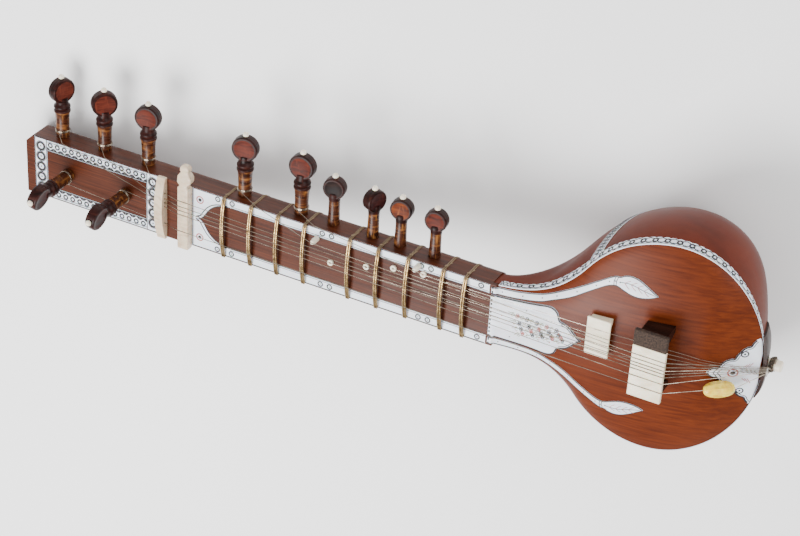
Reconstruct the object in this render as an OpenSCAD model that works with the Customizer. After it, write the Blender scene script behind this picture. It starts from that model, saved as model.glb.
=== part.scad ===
// Small sitar lying on its back: the flattened base of its gourd and the edge of its head
// touch the ground. It is drawn level, with x from the head to the tail, y towards the side
// pegs and z up from the neck's face, and then laid down by lay().

/* [Neck] */
// Width of the neck
neck_w = 66; // [64:1:68]
// Depth of the neck from its face to its back
neck_depth = 35; // [34:1:37]
// Wall thickness of the hollow neck
neck_wall = 8; // [7:0.5:9]
// Thickness of the face board that closes the neck
face_t = 4; // [3.5:0.5:5]
// Distance of the head's end behind the head inlay
head_margin = 10; // [8:1:12]
// Where the neck meets the gourd's collar
joint_x = 505; // [503:1:507]

/* [Gourd] */
// Radius of the gourd across the instrument
gourd_r = 115; // [112:1:118]
// Length of the gourd ahead of its middle
gourd_front = 102; // [100:1:104]
// Length of the gourd behind its middle
gourd_rear = 92; // [91:1:94]
// Middle of the gourd along the instrument
gourd_x = 659; // [657:1:661]
// Depth of the gourd's middle below the neck's face
gourd_drop = 65; // [63:1:67]
// Thickness of the gourd's shell
shell_t = 4.5; // [4:0.5:6]
// Height of the gourd's middle above the ground
base_drop = 112; // [111:0.5:113]

/* [Soundboard] */
// Thickness of the soundboard
board_t = 3.5; // [3:0.5:4]
// Rise of the soundboard from its rim to its centre line
crown_h = 15.85; // [14:0.05:17]
// Thickness of the celluloid inlays
inlay_t = 0.8; // [0.6:0.1:1]
// Depth of the binding below the soundboard's edge
binding_depth = 9; // [8:0.5:10]

/* [Pegs] */
// Places of the large side pegs along the neck
large_peg_x = [24, 74, 125, 234.5, 297]; // [0:600]
// Places of the small side pegs along the neck
small_peg_x = [332, 374, 403, 439]; // [0:600]
// Places of the pegs on the head's face
front_peg_x = [40.5, 108.5]; // [0:600]
// Depth of the side pegs below the neck's face
peg_z = 15; // [14:0.5:16]
// Radius of every peg where it turns in the neck's wall
shaft_r = 5; // [4.5:0.25:5.5]
// Radius of every peg's tip in the far wall
tip_r = 3.5; // [3:0.25:4]
// Radial clearance of the pegs in their holes
peg_clear = 0.05; // [0.02:0.01:0.08]

/* [Frets] */
// Places of the frets along the neck
fret_x = [221.5, 251.5, 281, 310.5, 359, 389.5, 420.5, 457, 480]; // [0:600]
// Height of a fret's crown above the face
fret_top = 7; // [6.5:0.25:7]
// Width of a fret
fret_w = 4.2; // [4:0.1:4.6]
// Thickness of a fret
fret_t = 2.4; // [2:0.1:2.8]

/* [Strings] */
// Height of the main nut above the face
nut_h = 9; // [8.5:0.25:9.5]
// Height of the main bridge's top above the level of the face
bridge_top = 8; // [7.5:0.25:9]
// Places across the nut of the strings played over the frets
nut_y = [18.5, 12.5, 8, 3.5, -15]; // [-33:33]
// Places across the main bridge of the same strings
bridge_y = [7, 3.7, 0, -7.2, -17.2]; // [-33:33]
// Radius of the strings over the main bridge
string_r = 0.3; // [0.25:0.05:0.35]
// Radius of the sympathetic strings
thin_r = 0.2; // [0.15:0.05:0.25]

/* [Hidden] */
$fn = 48;
half_w = neck_w / 2;
head_x = -head_margin;
tail_x = 766;
pin_z = -gourd_drop;
pin_r = 5.2;

// Laying down: the whole turns until the gourd's base is level with the head's back edge.
reach_x = gourd_x - head_x;
reach_z = neck_depth - gourd_drop;
tilt = asin(base_drop / norm([reach_x, reach_z])) - atan2(reach_z, reach_x);
lift = neck_depth * cos(tilt) - head_x * sin(tilt);
low_x = head_x * cos(tilt);
high_x = tail_x * cos(tilt) + (gourd_drop + pin_r - 1) * sin(tilt);
mid_x = (low_x + high_x) / 2;
module lay() translate([-mid_x, 0, lift]) rotate([0, -tilt, 0]) children();
function ground_z(x) = -(lift + x * sin(tilt)) / cos(tilt);

function ease(t) = let (c = min(1, max(0, t))) c * c * (3 - 2 * c);
function mix(a, b, t) = a + (b - a) * t;
function bezier(a, b, c, d, n) = [for (i = [0:n]) let (t = i / n)
    pow(1 - t, 3) * a + 3 * t * pow(1 - t, 2) * b + 3 * t * t * (1 - t) * c + pow(t, 3) * d];
function backwards(a) = [for (i = [len(a) - 1:-1:0]) a[i]];
function flip_y(pts) = [for (i = [len(pts) - 1:-1:0]) [pts[i][0], -pts[i][1]]];
// A smooth curve from height y0 with slope m0 at x0 to height y1 with slope m1 at x1.
function blend(x, x0, y0, m0, x1, y1, m1) = let (l = x1 - x0, t = (x - x0) / l)
    (2 * t ^ 3 - 3 * t ^ 2 + 1) * y0 + (t ^ 3 - 2 * t ^ 2 + t) * l * m0
    + (3 * t ^ 2 - 2 * t ^ 3) * y1 + (t ^ 3 - t ^ 2) * l * m1;

// Heights of the soundboard's rim and centre line.
board_start = joint_x + 5;
function rim_z(x) = let (u = max(0, x - board_start) / 150)
    -2.3 * u - 13.2 * u * u - crown_h * ease((x - 470) / 150);
function crown(x) = crown_h * ease((x - 470) / 150) * (1 - 0.85 * ease((x - 700) / 54));
function face_z(x, y) = x < board_start ? 0
    : rim_z(x) + crown(x) * (1 - pow(min(1, abs(y) / rim_y(x)), 2));

// The gourd is an egg: round across, and longer ahead of its middle than behind it. Behind
// the middle it leans forwards below the rim, which flattens its tail.
throat_x = 589;
lean_k = 0.25;
function lean(x) = lean_k * pow(max(0, (x - gourd_x) / gourd_rear), 4);
function gourd_radius(x) = let (a = x < gourd_x ? gourd_front : gourd_rear)
    gourd_r * sqrt(max(0, 1 - pow((x - gourd_x) / a, 2)));
function gourd_rim(x) = sqrt(max(0, pow(gourd_radius(x), 2) - pow(rim_z(x) + gourd_drop, 2)));
slope_r = (gourd_radius(throat_x + 0.1) - gourd_radius(throat_x - 0.1)) / 0.2;
slope_h = (gourd_rim(throat_x + 0.1) - gourd_rim(throat_x - 0.1)) / 0.2;
function rim_y(x) = x >= throat_x ? gourd_rim(x)
    : blend(x, joint_x, half_w - 1, 0.04, throat_x, gourd_rim(throat_x), slope_h);
function back_z(x) = x >= throat_x ? -gourd_drop - gourd_radius(x)
    : blend(x, joint_x, -neck_depth, -0.03, throat_x, -gourd_drop - gourd_radius(throat_x),
        -slope_r);
function round_off(x) = pow(ease((x - joint_x) / (throat_x - joint_x)), 1.6);
function belly_z(x) = mix(rim_z(x), -gourd_drop, round_off(x));
function belly_d(x) = belly_z(x) - back_z(x);
function belly_w(x) = x >= throat_x ? gourd_radius(x)
    : rim_y(x) / sqrt(1 - pow((rim_z(x) - belly_z(x)) / belly_d(x), 2));
function square_off(x) = mix(4.7, 2, round_off(x));

// One cross-section of the body, inset from its skin, cut level below its rim and kept above
// the ground. Its points keep to the same heights whatever the cut, so that pieces cut from it
// meet face to face.
ring_n = 14;
function cut_angle(x, inset, drop) = let (q = (rim_z(x) - drop - belly_z(x)) / (belly_d(x) - inset))
    q > 0 ? asin(min(1, q)) : -asin(pow(min(1, -q), square_off(x) / 2));
function ring(x, inset, drop) = let (w = belly_w(x) - inset, d = belly_d(x) - inset,
    n = square_off(x), low = cut_angle(x, inset, binding_depth),
    levels = concat([drop], [for (c = [0, board_t, binding_depth]) if (c > drop) c]),
    turns = concat([for (c = levels) cut_angle(x, inset, c)], [for (i = [1:ring_n]) mix(low, -90, i / ring_n)]),
    side = [for (a = turns) let (p = a < 0 ? 2 / n : 1)
        seated(x, w * pow(max(0, cos(a)), p),
            belly_z(x) + (a < 0 ? -d : d) * pow(abs(sin(a)), p), inset)])
    concat(side, [for (i = [len(side) - 2:-1:0]) [side[i][0], -side[i][1], side[i][2]]]);
function seated(x, y, z, inset) = let (s = x - lean(x) * (rim_z(x) - board_t - z))
    [s, y, max(z, ground_z(s) + max(0, inset))];
// Stations along the body, closer together where the gourd turns quickly.
body_end = 750.3;
band_w = 10;
station_n = 20;
turn_start = asin((throat_x + band_w - gourd_x) / gourd_front);
turn_end = asin((body_end - gourd_x) / gourd_rear);
body_x = concat([joint_x, board_start], [for (i = [1:6]) mix(joint_x, throat_x, i / 6)],
    [for (i = [0:station_n]) let (f = mix(turn_start, turn_end, i / station_n))
        gourd_x + (f < 0 ? gourd_front : gourd_rear) * sin(f)]);
last = len(body_x) - 1;
// A closed solid through a list of rings that all have the same number of points. Crossing it
// turns the diagonals of its sides the other way, so that it can lie flat on another loft.
module loft(rings, cross = false) {
    n = len(rings[0]);
    m = len(rings);
    polyhedron([for (r = rings) each r], concat(
        [[for (i = [0:n - 1]) i]],
        [for (j = [0:m - 2], i = [0:n - 1]) let (k = (i + 1) % n)
            each cross
                ? [[j * n + k, j * n + i, (j + 1) * n + k], [j * n + i, (j + 1) * n + i,
                    (j + 1) * n + k]]
                : [[j * n + k, j * n + i, (j + 1) * n + i], [j * n + k, (j + 1) * n + i,
                    (j + 1) * n + k]]],
        [[for (i = [n - 1:-1:0]) (m - 1) * n + i]]), convexity = 4);
}
module body_core(i0, i1, inset, drop)
    loft([for (i = [i0:i1]) backwards(ring(body_x[i], inset, drop))]);

band_i = 7;
binding_t = 0.6;
// Thickness of the glue under the bands and inlays.
glue_t = 0.02;
module cavity() body_core(3, last - 1, shell_t, -6);
module throat_collar() color("#5a2d22") difference() {
    body_core(0, band_i, 0, board_t);
    cavity();
}
module gourd_shell() color("#6e352a") difference() {
    body_core(band_i, last, 0, board_t);
    cavity();
}
// Celluloid bands lie on the skin: one below each side of the rim and one round the collar.
function upper(x, inset) = [for (i = [0:2]) ring(x, inset, 0)[i]];
module rim_binding() color("#e4e2e6") for (s = [0, 1]) mirror([0, s])
    loft([for (i = [1:last]) let (x = body_x[i])
        concat(upper(x, -glue_t), backwards(upper(x, -binding_t)))], s == 0);
module collar_band() color("#d9d7db") difference() {
    body_core(band_i, band_i + 1, -binding_t, binding_depth);
    body_core(band_i - 1, band_i + 2, 0, -6);
}

// A layer of the crowned soundboard between two heights measured from its top.
board_n = 14;
function board_line(x, z, way) = let (w = rim_y(x))
    [for (i = [0:board_n]) let (v = way * (2 * i / board_n - 1))
        [x, v * w, rim_z(x) + crown(x) * (1 - v * v) + z]];
module board_layer(low, high, cross = false) loft([for (i = [1:last]) let (x = body_x[i])
    concat(board_line(x, low, 1), board_line(x, high, -1))], cross);
module soundboard() color("#8a4220") board_layer(-board_t, 0);
module on_board(h = inlay_t) intersection() {
    board_layer(glue_t, h, true);
    translate([0, 0, -100]) linear_extrude(200) children();
}

// Inlays of the body, as outlines seen from above.
apron_y = 22.5;
module both_sides(half) polygon(concat(half, flip_y(half)));
module apron_outline() both_sides([[board_start + 1, apron_y], [558, apron_y + 2],
    each bezier([562, 25], [568, 24], [573, 21], [573, 15], 6),
    each bezier([575, 14], [582, 13], [586, 8], [594, 0], 6)]);
arm_w = 9;
arm = bezier([board_start + 1, 27], [565, 27], [580, 42], [622, 66], 14);
module arm_outline() for (i = [0:len(arm) - 2]) hull() for (p = [arm[i], arm[i + 1]])
    translate(p) square([2, arm_w], center = true);
module leaf_outline() polygon(concat(
    bezier([618, 60], [628, 78], [640, 70], [657, 62], 8),
    bezier([656, 60], [646, 54], [636, 54], [620, 66], 8)));
module arms_outline() difference() {
    for (s = [0, 1]) mirror([0, s]) {
        arm_outline();
        leaf_outline();
    }
    apron_outline();
}
star_y = -4;
module star_outline() translate([0, star_y]) both_sides([[709, 0.01], [715, 7], [720, 12],
    [728, 19], [732, 26], [740, 34], [752, 34]]);
module apron_inlay() color("#dcdbe4") on_board() apron_outline();
module leaf_arms() color("#dcdbe4") on_board() arms_outline();
module tail_inlay() color("#dcdbe4") on_board() star_outline();

// The neck and the inlays of its flat face.
function spread(n, a, b) = [for (i = [0:n - 1]) mix(a, b, i / (n - 1))];
module along(x0, x1) translate([x0, 0, 0]) rotate([90, 0, 90]) linear_extrude(x1 - x0) children();
module neck_profile(w, top, depth, r) {
    translate([-w / 2, r - depth]) square([w, depth + top - r]);
    translate([r - w / 2, -depth]) square([w - 2 * r, r + 1]);
    for (s = [-1, 1]) translate([s * (w / 2 - r), r - depth]) circle(r);
}
side_pegs = concat(large_peg_x, small_peg_x);
blind = 5;
module side_axis(x) translate([x, half_w, -peg_z]) rotate([-90, 0, 0]) children();
module front_axis(x) translate([x, 0, 0]) children();
module head_corner() translate([head_x, half_w, -50]) rotate(45) cube([12, 12, 120], center = true);
module neck_trough() color("#6b3323") difference() {
    along(head_x, joint_x) neck_profile(neck_w, -face_t, neck_depth, 15);
    along(head_x + 14, joint_x - 22)
        neck_profile(neck_w - 2 * neck_wall, 1, neck_depth - neck_wall, 8);
    for (x = side_pegs) side_axis(x) {
        translate([0, 0, -neck_wall - 2]) cylinder(r = shaft_r + peg_clear, h = neck_wall + 4);
        translate([0, 0, -neck_w + neck_wall - blind])
            cylinder(r = tip_r + peg_clear, h = blind + 2);
    }
    for (x = front_peg_x) translate([x, 0, neck_wall - neck_depth - blind])
        cylinder(r = tip_r + peg_clear, h = blind + 2);
    head_corner();
}
guide_x = [147, 156];
nut_x = [173, 185];
strip_w = 10;
module head_outline() difference() {
    translate([0, 0.5 - half_w]) square([guide_x[0], neck_w - 1]);
    translate([15, 13 - half_w]) square([guide_x[0] - 30, neck_w - 26]);
}
arch = bezier([nut_x[1] + 7, 0], [nut_x[1] + 18, 1], [nut_x[1] + 14, 22], [228, 22.5], 10);
module strips_outline() difference() {
    translate([nut_x[1], 0.5 - half_w]) square([joint_x - 1.5 - nut_x[1], neck_w - 1]);
    both_sides(concat(arch, [[joint_x, half_w - strip_w]]));
}
// Bone buttons carry the sympathetic strings out of the neck; posts carry the chikaris.
button_at = [[339, 0], [377, 8.5], [405.5, 16.5], [436.5, 20.5]];
post_at = [[323, 21], [431, 27.5]];
button_r = 3;
post_r = 2.8;
stub_r = 1.6;
module neck_face_board() color("#7c3c22") difference() {
    along(head_x, joint_x + 5) translate([-half_w, -face_t]) square([neck_w, face_t]);
    translate([0, 0, -inlay_t]) linear_extrude(inlay_t + 1) {
        head_outline();
        strips_outline();
    }
    for (x = front_peg_x) front_axis(x) translate([0, 0, -face_t - 1])
        cylinder(r = shaft_r + peg_clear, h = face_t + 2);
    for (p = button_at) translate([p[0], p[1], -face_t - 1]) cylinder(r = stub_r + 0.5, h = 9);
    for (p = post_at) translate([p[0], p[1], -face_t - 1]) cylinder(r = stub_r, h = 9);
    head_corner();
}
module head_inlay() color("#dcdbe4") translate([0, 0, -inlay_t]) linear_extrude(inlay_t)
    head_outline();
module neck_inlay() color("#dcdbe4") difference() {
    translate([0, 0, -inlay_t]) linear_extrude(inlay_t) strips_outline();
    for (p = post_at) translate([p[0], p[1], -2]) cylinder(r = stub_r, h = 4);
}

// Bone fittings.
bone = "#e8e0c8";
guide_hole_z = 4.5;
guide_rise = [4, 10];
guide_arc = (half_w ^ 2 + (guide_rise[1] - guide_rise[0]) ^ 2) / 2 / (guide_rise[1] - guide_rise[0]);
module string_guide() color(bone) difference() {
    along(guide_x[0], guide_x[1]) intersection() {
        translate([0, guide_rise[1] - guide_arc]) circle(guide_arc, $fn = 160);
        translate([-half_w - 1, 0]) square([neck_w + 2, 20]);
    }
    for (y = nut_y) translate([guide_x[0] - 1, y, guide_hole_z]) rotate([0, 90, 0])
        cylinder(r = 1, h = 30);
}
finial_len = 25;
module main_nut() color(bone) {
    translate([nut_x[0], -half_w - 2, 0]) cube([nut_x[1] - nut_x[0], neck_w + 2, nut_h]);
    translate([nut_x[0], half_w, 1]) linear_extrude(nut_h - 1) polygon([[0.5, 0], [0.5, 3],
        [-2, 6], [-2, 14], [1.5, 17], [3, 17], [3, 20], [2, finial_len - 1],
        [3.5, finial_len], [10, finial_len], [11, finial_len - 2], [10.5, 19], [13, 15],
        [13, 6], [11, 3], [11, 0]]);
}
module string_buttons() color(bone) for (p = button_at) translate([p[0], p[1], 0]) difference() {
    union() {
        cylinder(r = button_r, h = 2);
        translate([0, 0, -face_t]) cylinder(r = stub_r + 0.5, h = face_t);
    }
    translate([0, 0, -face_t - 1]) cylinder(r = 1.2, h = 9);
}
post_h = 10;
module chikari_posts() color(bone) for (p = post_at) translate([p[0], p[1], 0]) {
    rotate_extrude() polygon([[0, 0.02], [post_r, 0.02], [post_r, 6], [post_r - 0.6, post_h - 1],
        [post_r - 1.2, post_h], [0, post_h]]);
    translate([0, 0, -face_t]) cylinder(r = stub_r, h = face_t + 1);
}

// Bridges stand on the soundboard by their feet.
bridge_at = [664.5, 5.5];
bridge_size = [32, 70];
plate_t = 4.5;
cap_len = 16;
small_at = [612, 13];
small_size = [23, 39];
small_top = 0;
small_t = 2.5;
foot_y = 8;
module stand(at, size, top, beam, foot) difference() {
    translate([at[0] - size[0] / 2, at[1] - size[1] / 2, 0]) {
        translate([0, 0, top - beam]) cube([size[0], size[1], beam]);
        for (y = [0, size[1] - foot]) translate([0, y, top - 40]) cube([size[0], foot, 40]);
    }
    board_layer(-60, 0);
}
module main_plate(y0, y1) translate([bridge_at[0] - bridge_size[0] / 2, y0, bridge_top - plate_t])
    cube([bridge_size[0], y1 - y0, plate_t]);
bridge_low = bridge_at[1] - bridge_size[1] / 2;
bridge_high = bridge_low + bridge_size[1];
module main_bridge_plate() color(bone) main_plate(bridge_low, bridge_high - cap_len);
module main_bridge_cap() color("#33261f") main_plate(bridge_high - cap_len, bridge_high);
module main_bridge_base() color("#4a2a1c")
    stand(bridge_at, [26, 66], bridge_top - plate_t, 4, foot_y);
module small_bridge_plate() color("#ece6cf")
    translate([small_at[0] - small_size[0] / 2, small_at[1] - small_size[1] / 2,
        small_top - small_t]) cube([small_size[0], small_size[1], small_t]);
module small_bridge_base() color("#d8cfae") stand(small_at, [19, 36], small_top - small_t, 1.5, 6);

// The tail block follows the gourd's end and holds the pin that every string is tied to.
block_y = 33;
block_h = 30;
block_t = 4.5;
block_top = 5;
block_lean = atan(lean(body_end));
block_edge = [body_end + block_t * cos(block_lean) + block_top * sin(block_lean),
    rim_z(body_end) - board_t + block_top * cos(block_lean) - block_t * sin(block_lean)];
module tail_axis() translate([body_end, 0, pin_z]) rotate([0, 90, 0]) children();
module tail_block() color("#4b2620") difference() {
    translate([body_end, 0, rim_z(body_end) - board_t]) rotate([0, block_lean, 0])
        translate([glue_t, -block_y, block_top - block_h]) cube([block_t, 2 * block_y, block_h]);
    tail_axis() translate([0, 0, -20]) cylinder(r = pin_r + gap, h = 40);
}
pin_len = tail_x - body_end;
module tail_pin() color(bone) tail_axis() rotate_extrude()
    polygon([[0, 0], [pin_r, 0], [pin_r, pin_len - 1], [pin_r - 1, pin_len], [0, pin_len]]);

// A fret is an arched bar, held by a thread that goes round the back of the neck.
fret_edge = 2.6;
arch_r = (half_w ^ 2 + (fret_top - fret_edge) ^ 2) / 2 / (fret_top - fret_edge);
tie_w = 1.6;
tie_t = 0.8;
gap = 0.05;
module fret(i) color("#b59a5a") {
    along(fret_x[i] - fret_w / 2, fret_x[i] + fret_w / 2) {
        intersection() {
            translate([0, fret_top - arch_r]) difference() {
                circle(arch_r, $fn = 200);
                circle(arch_r - fret_t, $fn = 200);
            }
            translate([-half_w, gap]) square([neck_w, 20]);
        }
        for (s = [-1, 1]) translate([s * (half_w - 1.5) - 1.5, gap]) square([3, fret_edge - 1]);
    }
    along(fret_x[i] - tie_w / 2, fret_x[i] + tie_w / 2) difference() {
        neck_profile(neck_w + 2 * (tie_t + gap), 2, neck_depth + tie_t + gap, 15 + tie_t + gap);
        neck_profile(neck_w + 2 * gap, 3, neck_depth + gap, 15 + gap);
    }
}

// A peg is turned about its own axis, which is z here, from the neck's surface outwards. The
// head is a disc with dished faces, and a bone bead sits in its rim.
large_stem = [[6.6, gap * 6], [6.6, 14], [7.3, 27], [8.2, 28], [8.2, 30.5], [7.1, 31.5],
    [8.2, 32.5], [8.2, 35], [6.4, 37.5], [6.4, 42]];
small_stem = [[5.9, gap * 6], [5.6, 12], [5.4, 24], [6.4, 32]];
large_head = [13, 51];
small_head = [11, 39];
head_t = 11;
dish_r = 60;
bead_seat = 0.7;
module peg_wood(stem, head, shaft, tip, turn, tint) color(tint) {
    rotate_extrude() polygon(concat([[0, -tip], [tip_r, -tip], [tip_r, -shaft],
        [shaft_r, -shaft], [shaft_r, stem[0][1]]], stem, [[0, stem[len(stem) - 1][1]]]));
    rotate(turn) translate([0, 0, head[1]]) difference() {
        rotate([90, 0, 0]) cylinder(r = head[0], h = head_t, center = true, $fn = 64);
        for (s = [-1, 1]) translate([0, s * (dish_r + head_t / 2 - 1), 0])
            sphere(r = dish_r, $fn = 96);
        translate([-50, -50, head[0] - bead_seat]) cube([100, 100, 50]);
    }
}
module peg_bead(head) color(bone) translate([0, 0, head[1] + head[0] - bead_seat])
    rotate_extrude() polygon([[0, 0], [2.2, 0], [3, 1.2], [3, 2.8], [2.3, 4.2], [1, 5], [0, 5]]);

// Where each peg stands, which kind it is, how far its head is turned and its colour.
side_turn = [70, 45, 8, 12, 5, 10, 68, 8, 6];
side_tint = ["#4c211c", "#4c211c", "#5e281d", "#55241c", "#5e281d", "#2a1a1a", "#3f1d1c",
    "#7a3a1c", "#552419"];
side_tip = [neck_w - neck_wall, neck_w - neck_wall + blind - 0.2];
front_tip = [neck_depth - neck_wall - 4, neck_depth - neck_wall + blind - 0.2];
front_turn = [75, 78];
module side_peg(i) let (big = i < len(large_peg_x)) side_axis(side_pegs[i])
    peg_wood(big ? large_stem : small_stem, big ? large_head : small_head,
        side_tip[0] - 3, side_tip[1], side_turn[i], side_tint[i]);
module side_bead(i) side_axis(side_pegs[i])
    peg_bead(i < len(large_peg_x) ? large_head : small_head);
module front_peg(i) front_axis(front_peg_x[i])
    peg_wood(large_stem, large_head, front_tip[0], front_tip[1], front_turn[i], "#4a1f1c");
module front_bead(i) front_axis(front_peg_x[i]) peg_bead(large_head);

// A string is one six-sided tube along its points, carried round its bends without a twist.
steel = "#b9a98a";
lie = 0.02;
sides_n = 6;
function unit(v) = v / norm(v);
function heading(p) = let (n = len(p) - 1) [for (i = [0:n])
    unit((i < n ? unit(p[i + 1] - p[i]) : [0, 0, 0]) + (i > 0 ? unit(p[i] - p[i - 1]) : [0, 0, 0]))];
module string(p, r) {
    d = heading(p);
    start = unit(cross(d[0], abs(d[0][2]) > 0.9 ? [1, 0, 0] : [0, 0, 1]));
    side = [for (i = 0, s = start; i < len(p); i = i + 1,
        s = i < len(p) ? unit(s - (s * d[i]) * d[i]) : s) s];
    loft([for (i = [0:len(p) - 1]) let (u = side[i], v = cross(d[i], u))
        [for (k = [0:sides_n - 1]) p[i] + r * (cos(360 * k / sides_n) * u
            + sin(360 * k / sides_n) * v)]]);
}
// Turns of a wire round a peg of radius r whose axis points along `out`. They start and end
// at `first` from the peg's middle, and run towards `second`.
coil_n = 12;
function turn_r(r, wire) = (r + gap + wire) / cos(180 / coil_n);
function coil(centre, first, second, out, r, wire, turns) = [for (k = [0:turns * coil_n])
    let (a = 360 * k / coil_n) centre + turn_r(r, wire) * (cos(a) * first + sin(a) * second)
        + out * 2.2 * wire * (k / coil_n - turns)];
wind_s = 6;
wind_r = large_stem[0][0];
wind_turns = 3;
x_dir = [1, 0, 0];
y_dir = [0, 1, 0];
z_dir = [0, 0, 1];
// The turns on a side peg's stem, then over the edge of the neck beside it.
function side_start(i, wire, run) = concat(
    coil([large_peg_x[i], half_w + wind_s, -peg_z], z_dir, x_dir, -y_dir, wind_r, wire,
        wind_turns),
    [[large_peg_x[i] + run, half_w + 1.3, 0.8]]);
function front_start(i, way, wire) = coil([front_peg_x[i], 0, wind_s - 1], way * y_dir, x_dir,
    -z_dir, wind_r, wire, wind_turns);
function through_guide(y) = [for (x = [guide_x[0] - 0.5, guide_x[1] + 0.5]) [x, y, guide_hole_z]];
function on_nut(y) = [for (x = nut_x) [x, y, nut_h + string_r + lie]];
function on_bridge(y) = [for (s = [-0.5, 0.5])
    [bridge_at[0] + s * bridge_size[0], y, bridge_top + string_r + lie]];
// Over the edge of the tail block, down beside the pin and round it, in two layers.
tie_pitch = 0.88;
tie_x = block_edge[0] - 0.8;
function tail_end(i, y, wire, layer) = let (r = turn_r(pin_r + layer, wire),
    top = block_edge[1] + wire + 0.7, h = top - pin_z, from = atan2(-y, h) + acos(r / norm([y, h])))
    concat([[block_edge[0] + 0.6 + wire, y, top]],
        [for (k = [0:9]) let (a = from + 360 / coil_n * k)
            [tie_x + tie_pitch * i, -r * sin(a), pin_z + r * cos(a)]]);

// Pull of the tuning bead on the outer string, and the direction it slides in.
bead_at = [723.4, -15.5, -24];
bead_half = 14.5;
bead_r = 8;
bead_from = on_bridge(bridge_y[4])[1];
bead_dir = unit(bead_at - bead_from);
string_kink = bead_at + (bead_half + 0.6) * bead_dir;

// Three of the played strings go to side pegs and two to the pegs on the face.
module main_strings() color(steel) for (i = [0:4])
    string(concat(i < 3 ? side_start(2 - i, string_r, 10)
            : front_start(4 - i, i == 3 ? 1 : -1, string_r),
        through_guide(nut_y[i]), on_nut(nut_y[i]), on_bridge(bridge_y[i]),
        i == 4 ? [string_kink] : [], tail_end(i, 2 - i, string_r, 0)), string_r);
chikari_y = [11, 15.5];
module chikari_strings() color(steel) for (i = [0, 1])
    string(concat(side_start(3 + i, string_r, 22),
        [[post_at[i][0], post_at[i][1], post_h + string_r + 0.22]],
        on_bridge(chikari_y[i]), tail_end(5 + i, 3 + i, string_r, 0)), string_r);
// The sympathetic strings rise through their buttons and run under the frets.
thin_y = [0, 7.5, 15, 22];
module sympathetic_strings() color(steel) for (i = [0:3]) {
    b = button_at[i];
    y = thin_y[i];
    way = b[0] > small_peg_x[i] ? 1 : -1;
    string(concat(coil([small_peg_x[i], b[1], -peg_z], way * x_dir, z_dir, y_dir, shaft_r,
            thin_r, 2),
        [[b[0], b[1], -1], [b[0], b[1], 2 + thin_r + lie]],
        [for (s = [-0.5, 0.5]) [small_at[0] + s * small_size[0], y, small_top + thin_r + lie]],
        [for (x = [690:12:726]) let (s = y * (760 - x) / 140) [x, s, face_z(x, s) + 1.3]],
        tail_end(0.8 * i, 0.7 * i - 6, thin_r, 0.85)), thin_r);
}
// The bead is threaded on the outer string and slides along it to fine-tune it.
module tuning_bead() color("#e2c95e") translate(bead_at)
    rotate([0, acos(bead_dir[2]), atan2(bead_dir[1], bead_dir[0])]) difference() {
        rotate_extrude() polygon(concat([[0, -bead_half]], [for (a = [-80:10:80])
            [bead_r * pow(cos(a), 0.8), bead_half * sin(a)]], [[0, bead_half]]));
        translate([0, 0, -2 * bead_half]) cylinder(r = string_r + gap, h = 4 * bead_half);
    }

lay() neck_trough();
lay() neck_face_board();
lay() throat_collar();
lay() collar_band();
lay() gourd_shell();
lay() rim_binding();
lay() soundboard();
lay() head_inlay();
lay() neck_inlay();
lay() apron_inlay();
lay() leaf_arms();
lay() tail_inlay();
lay() tail_block();
lay() tail_pin();
lay() string_guide();
lay() main_nut();
lay() main_bridge_plate();
lay() main_bridge_cap();
lay() main_bridge_base();
lay() small_bridge_plate();
lay() small_bridge_base();
lay() chikari_posts();
lay() string_buttons();
lay() main_strings();
lay() chikari_strings();
lay() sympathetic_strings();
lay() tuning_bead();
lay() fret(0);  // fret_1
lay() fret(1);  // fret_2
lay() fret(2);  // fret_3
lay() fret(3);  // fret_4
lay() fret(4);  // fret_5
lay() fret(5);  // fret_6
lay() fret(6);  // fret_7
lay() fret(7);  // fret_8
lay() fret(8);  // fret_9
lay() side_peg(0);  // peg_1
lay() side_peg(1);  // peg_2
lay() side_peg(2);  // peg_3
lay() side_peg(3);  // peg_4
lay() side_peg(4);  // peg_5
lay() side_peg(5);  // peg_6
lay() side_peg(6);  // peg_7
lay() side_peg(7);  // peg_8
lay() side_peg(8);  // peg_9
lay() front_peg(0);  // peg_10
lay() front_peg(1);  // peg_11
lay() side_bead(0);  // peg_bead_1
lay() side_bead(1);  // peg_bead_2
lay() side_bead(2);  // peg_bead_3
lay() side_bead(3);  // peg_bead_4
lay() side_bead(4);  // peg_bead_5
lay() side_bead(5);  // peg_bead_6
lay() side_bead(6);  // peg_bead_7
lay() side_bead(7);  // peg_bead_8
lay() side_bead(8);  // peg_bead_9
lay() front_bead(0);  // peg_bead_10
lay() front_bead(1);  // peg_bead_11
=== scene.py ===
from bisect import bisect_left
from math import asin, atan2, cos, degrees, dist, hypot, pi, radians, sin, sqrt

import bmesh
import bpy
from mathutils import Matrix, Vector


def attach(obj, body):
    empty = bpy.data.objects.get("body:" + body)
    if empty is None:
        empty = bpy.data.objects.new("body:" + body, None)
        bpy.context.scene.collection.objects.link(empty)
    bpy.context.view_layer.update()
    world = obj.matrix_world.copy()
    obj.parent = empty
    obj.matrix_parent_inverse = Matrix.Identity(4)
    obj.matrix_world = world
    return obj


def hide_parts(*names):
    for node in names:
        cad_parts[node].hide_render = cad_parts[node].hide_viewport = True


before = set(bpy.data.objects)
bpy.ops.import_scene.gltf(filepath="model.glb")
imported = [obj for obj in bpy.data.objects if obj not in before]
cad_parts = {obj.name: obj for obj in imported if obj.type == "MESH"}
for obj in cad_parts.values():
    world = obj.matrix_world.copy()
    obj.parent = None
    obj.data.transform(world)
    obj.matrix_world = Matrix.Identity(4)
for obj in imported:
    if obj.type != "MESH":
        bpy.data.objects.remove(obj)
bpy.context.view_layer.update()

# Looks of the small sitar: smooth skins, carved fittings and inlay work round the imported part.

MM = 0.001
INSTRUMENT = "instrument"

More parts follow.
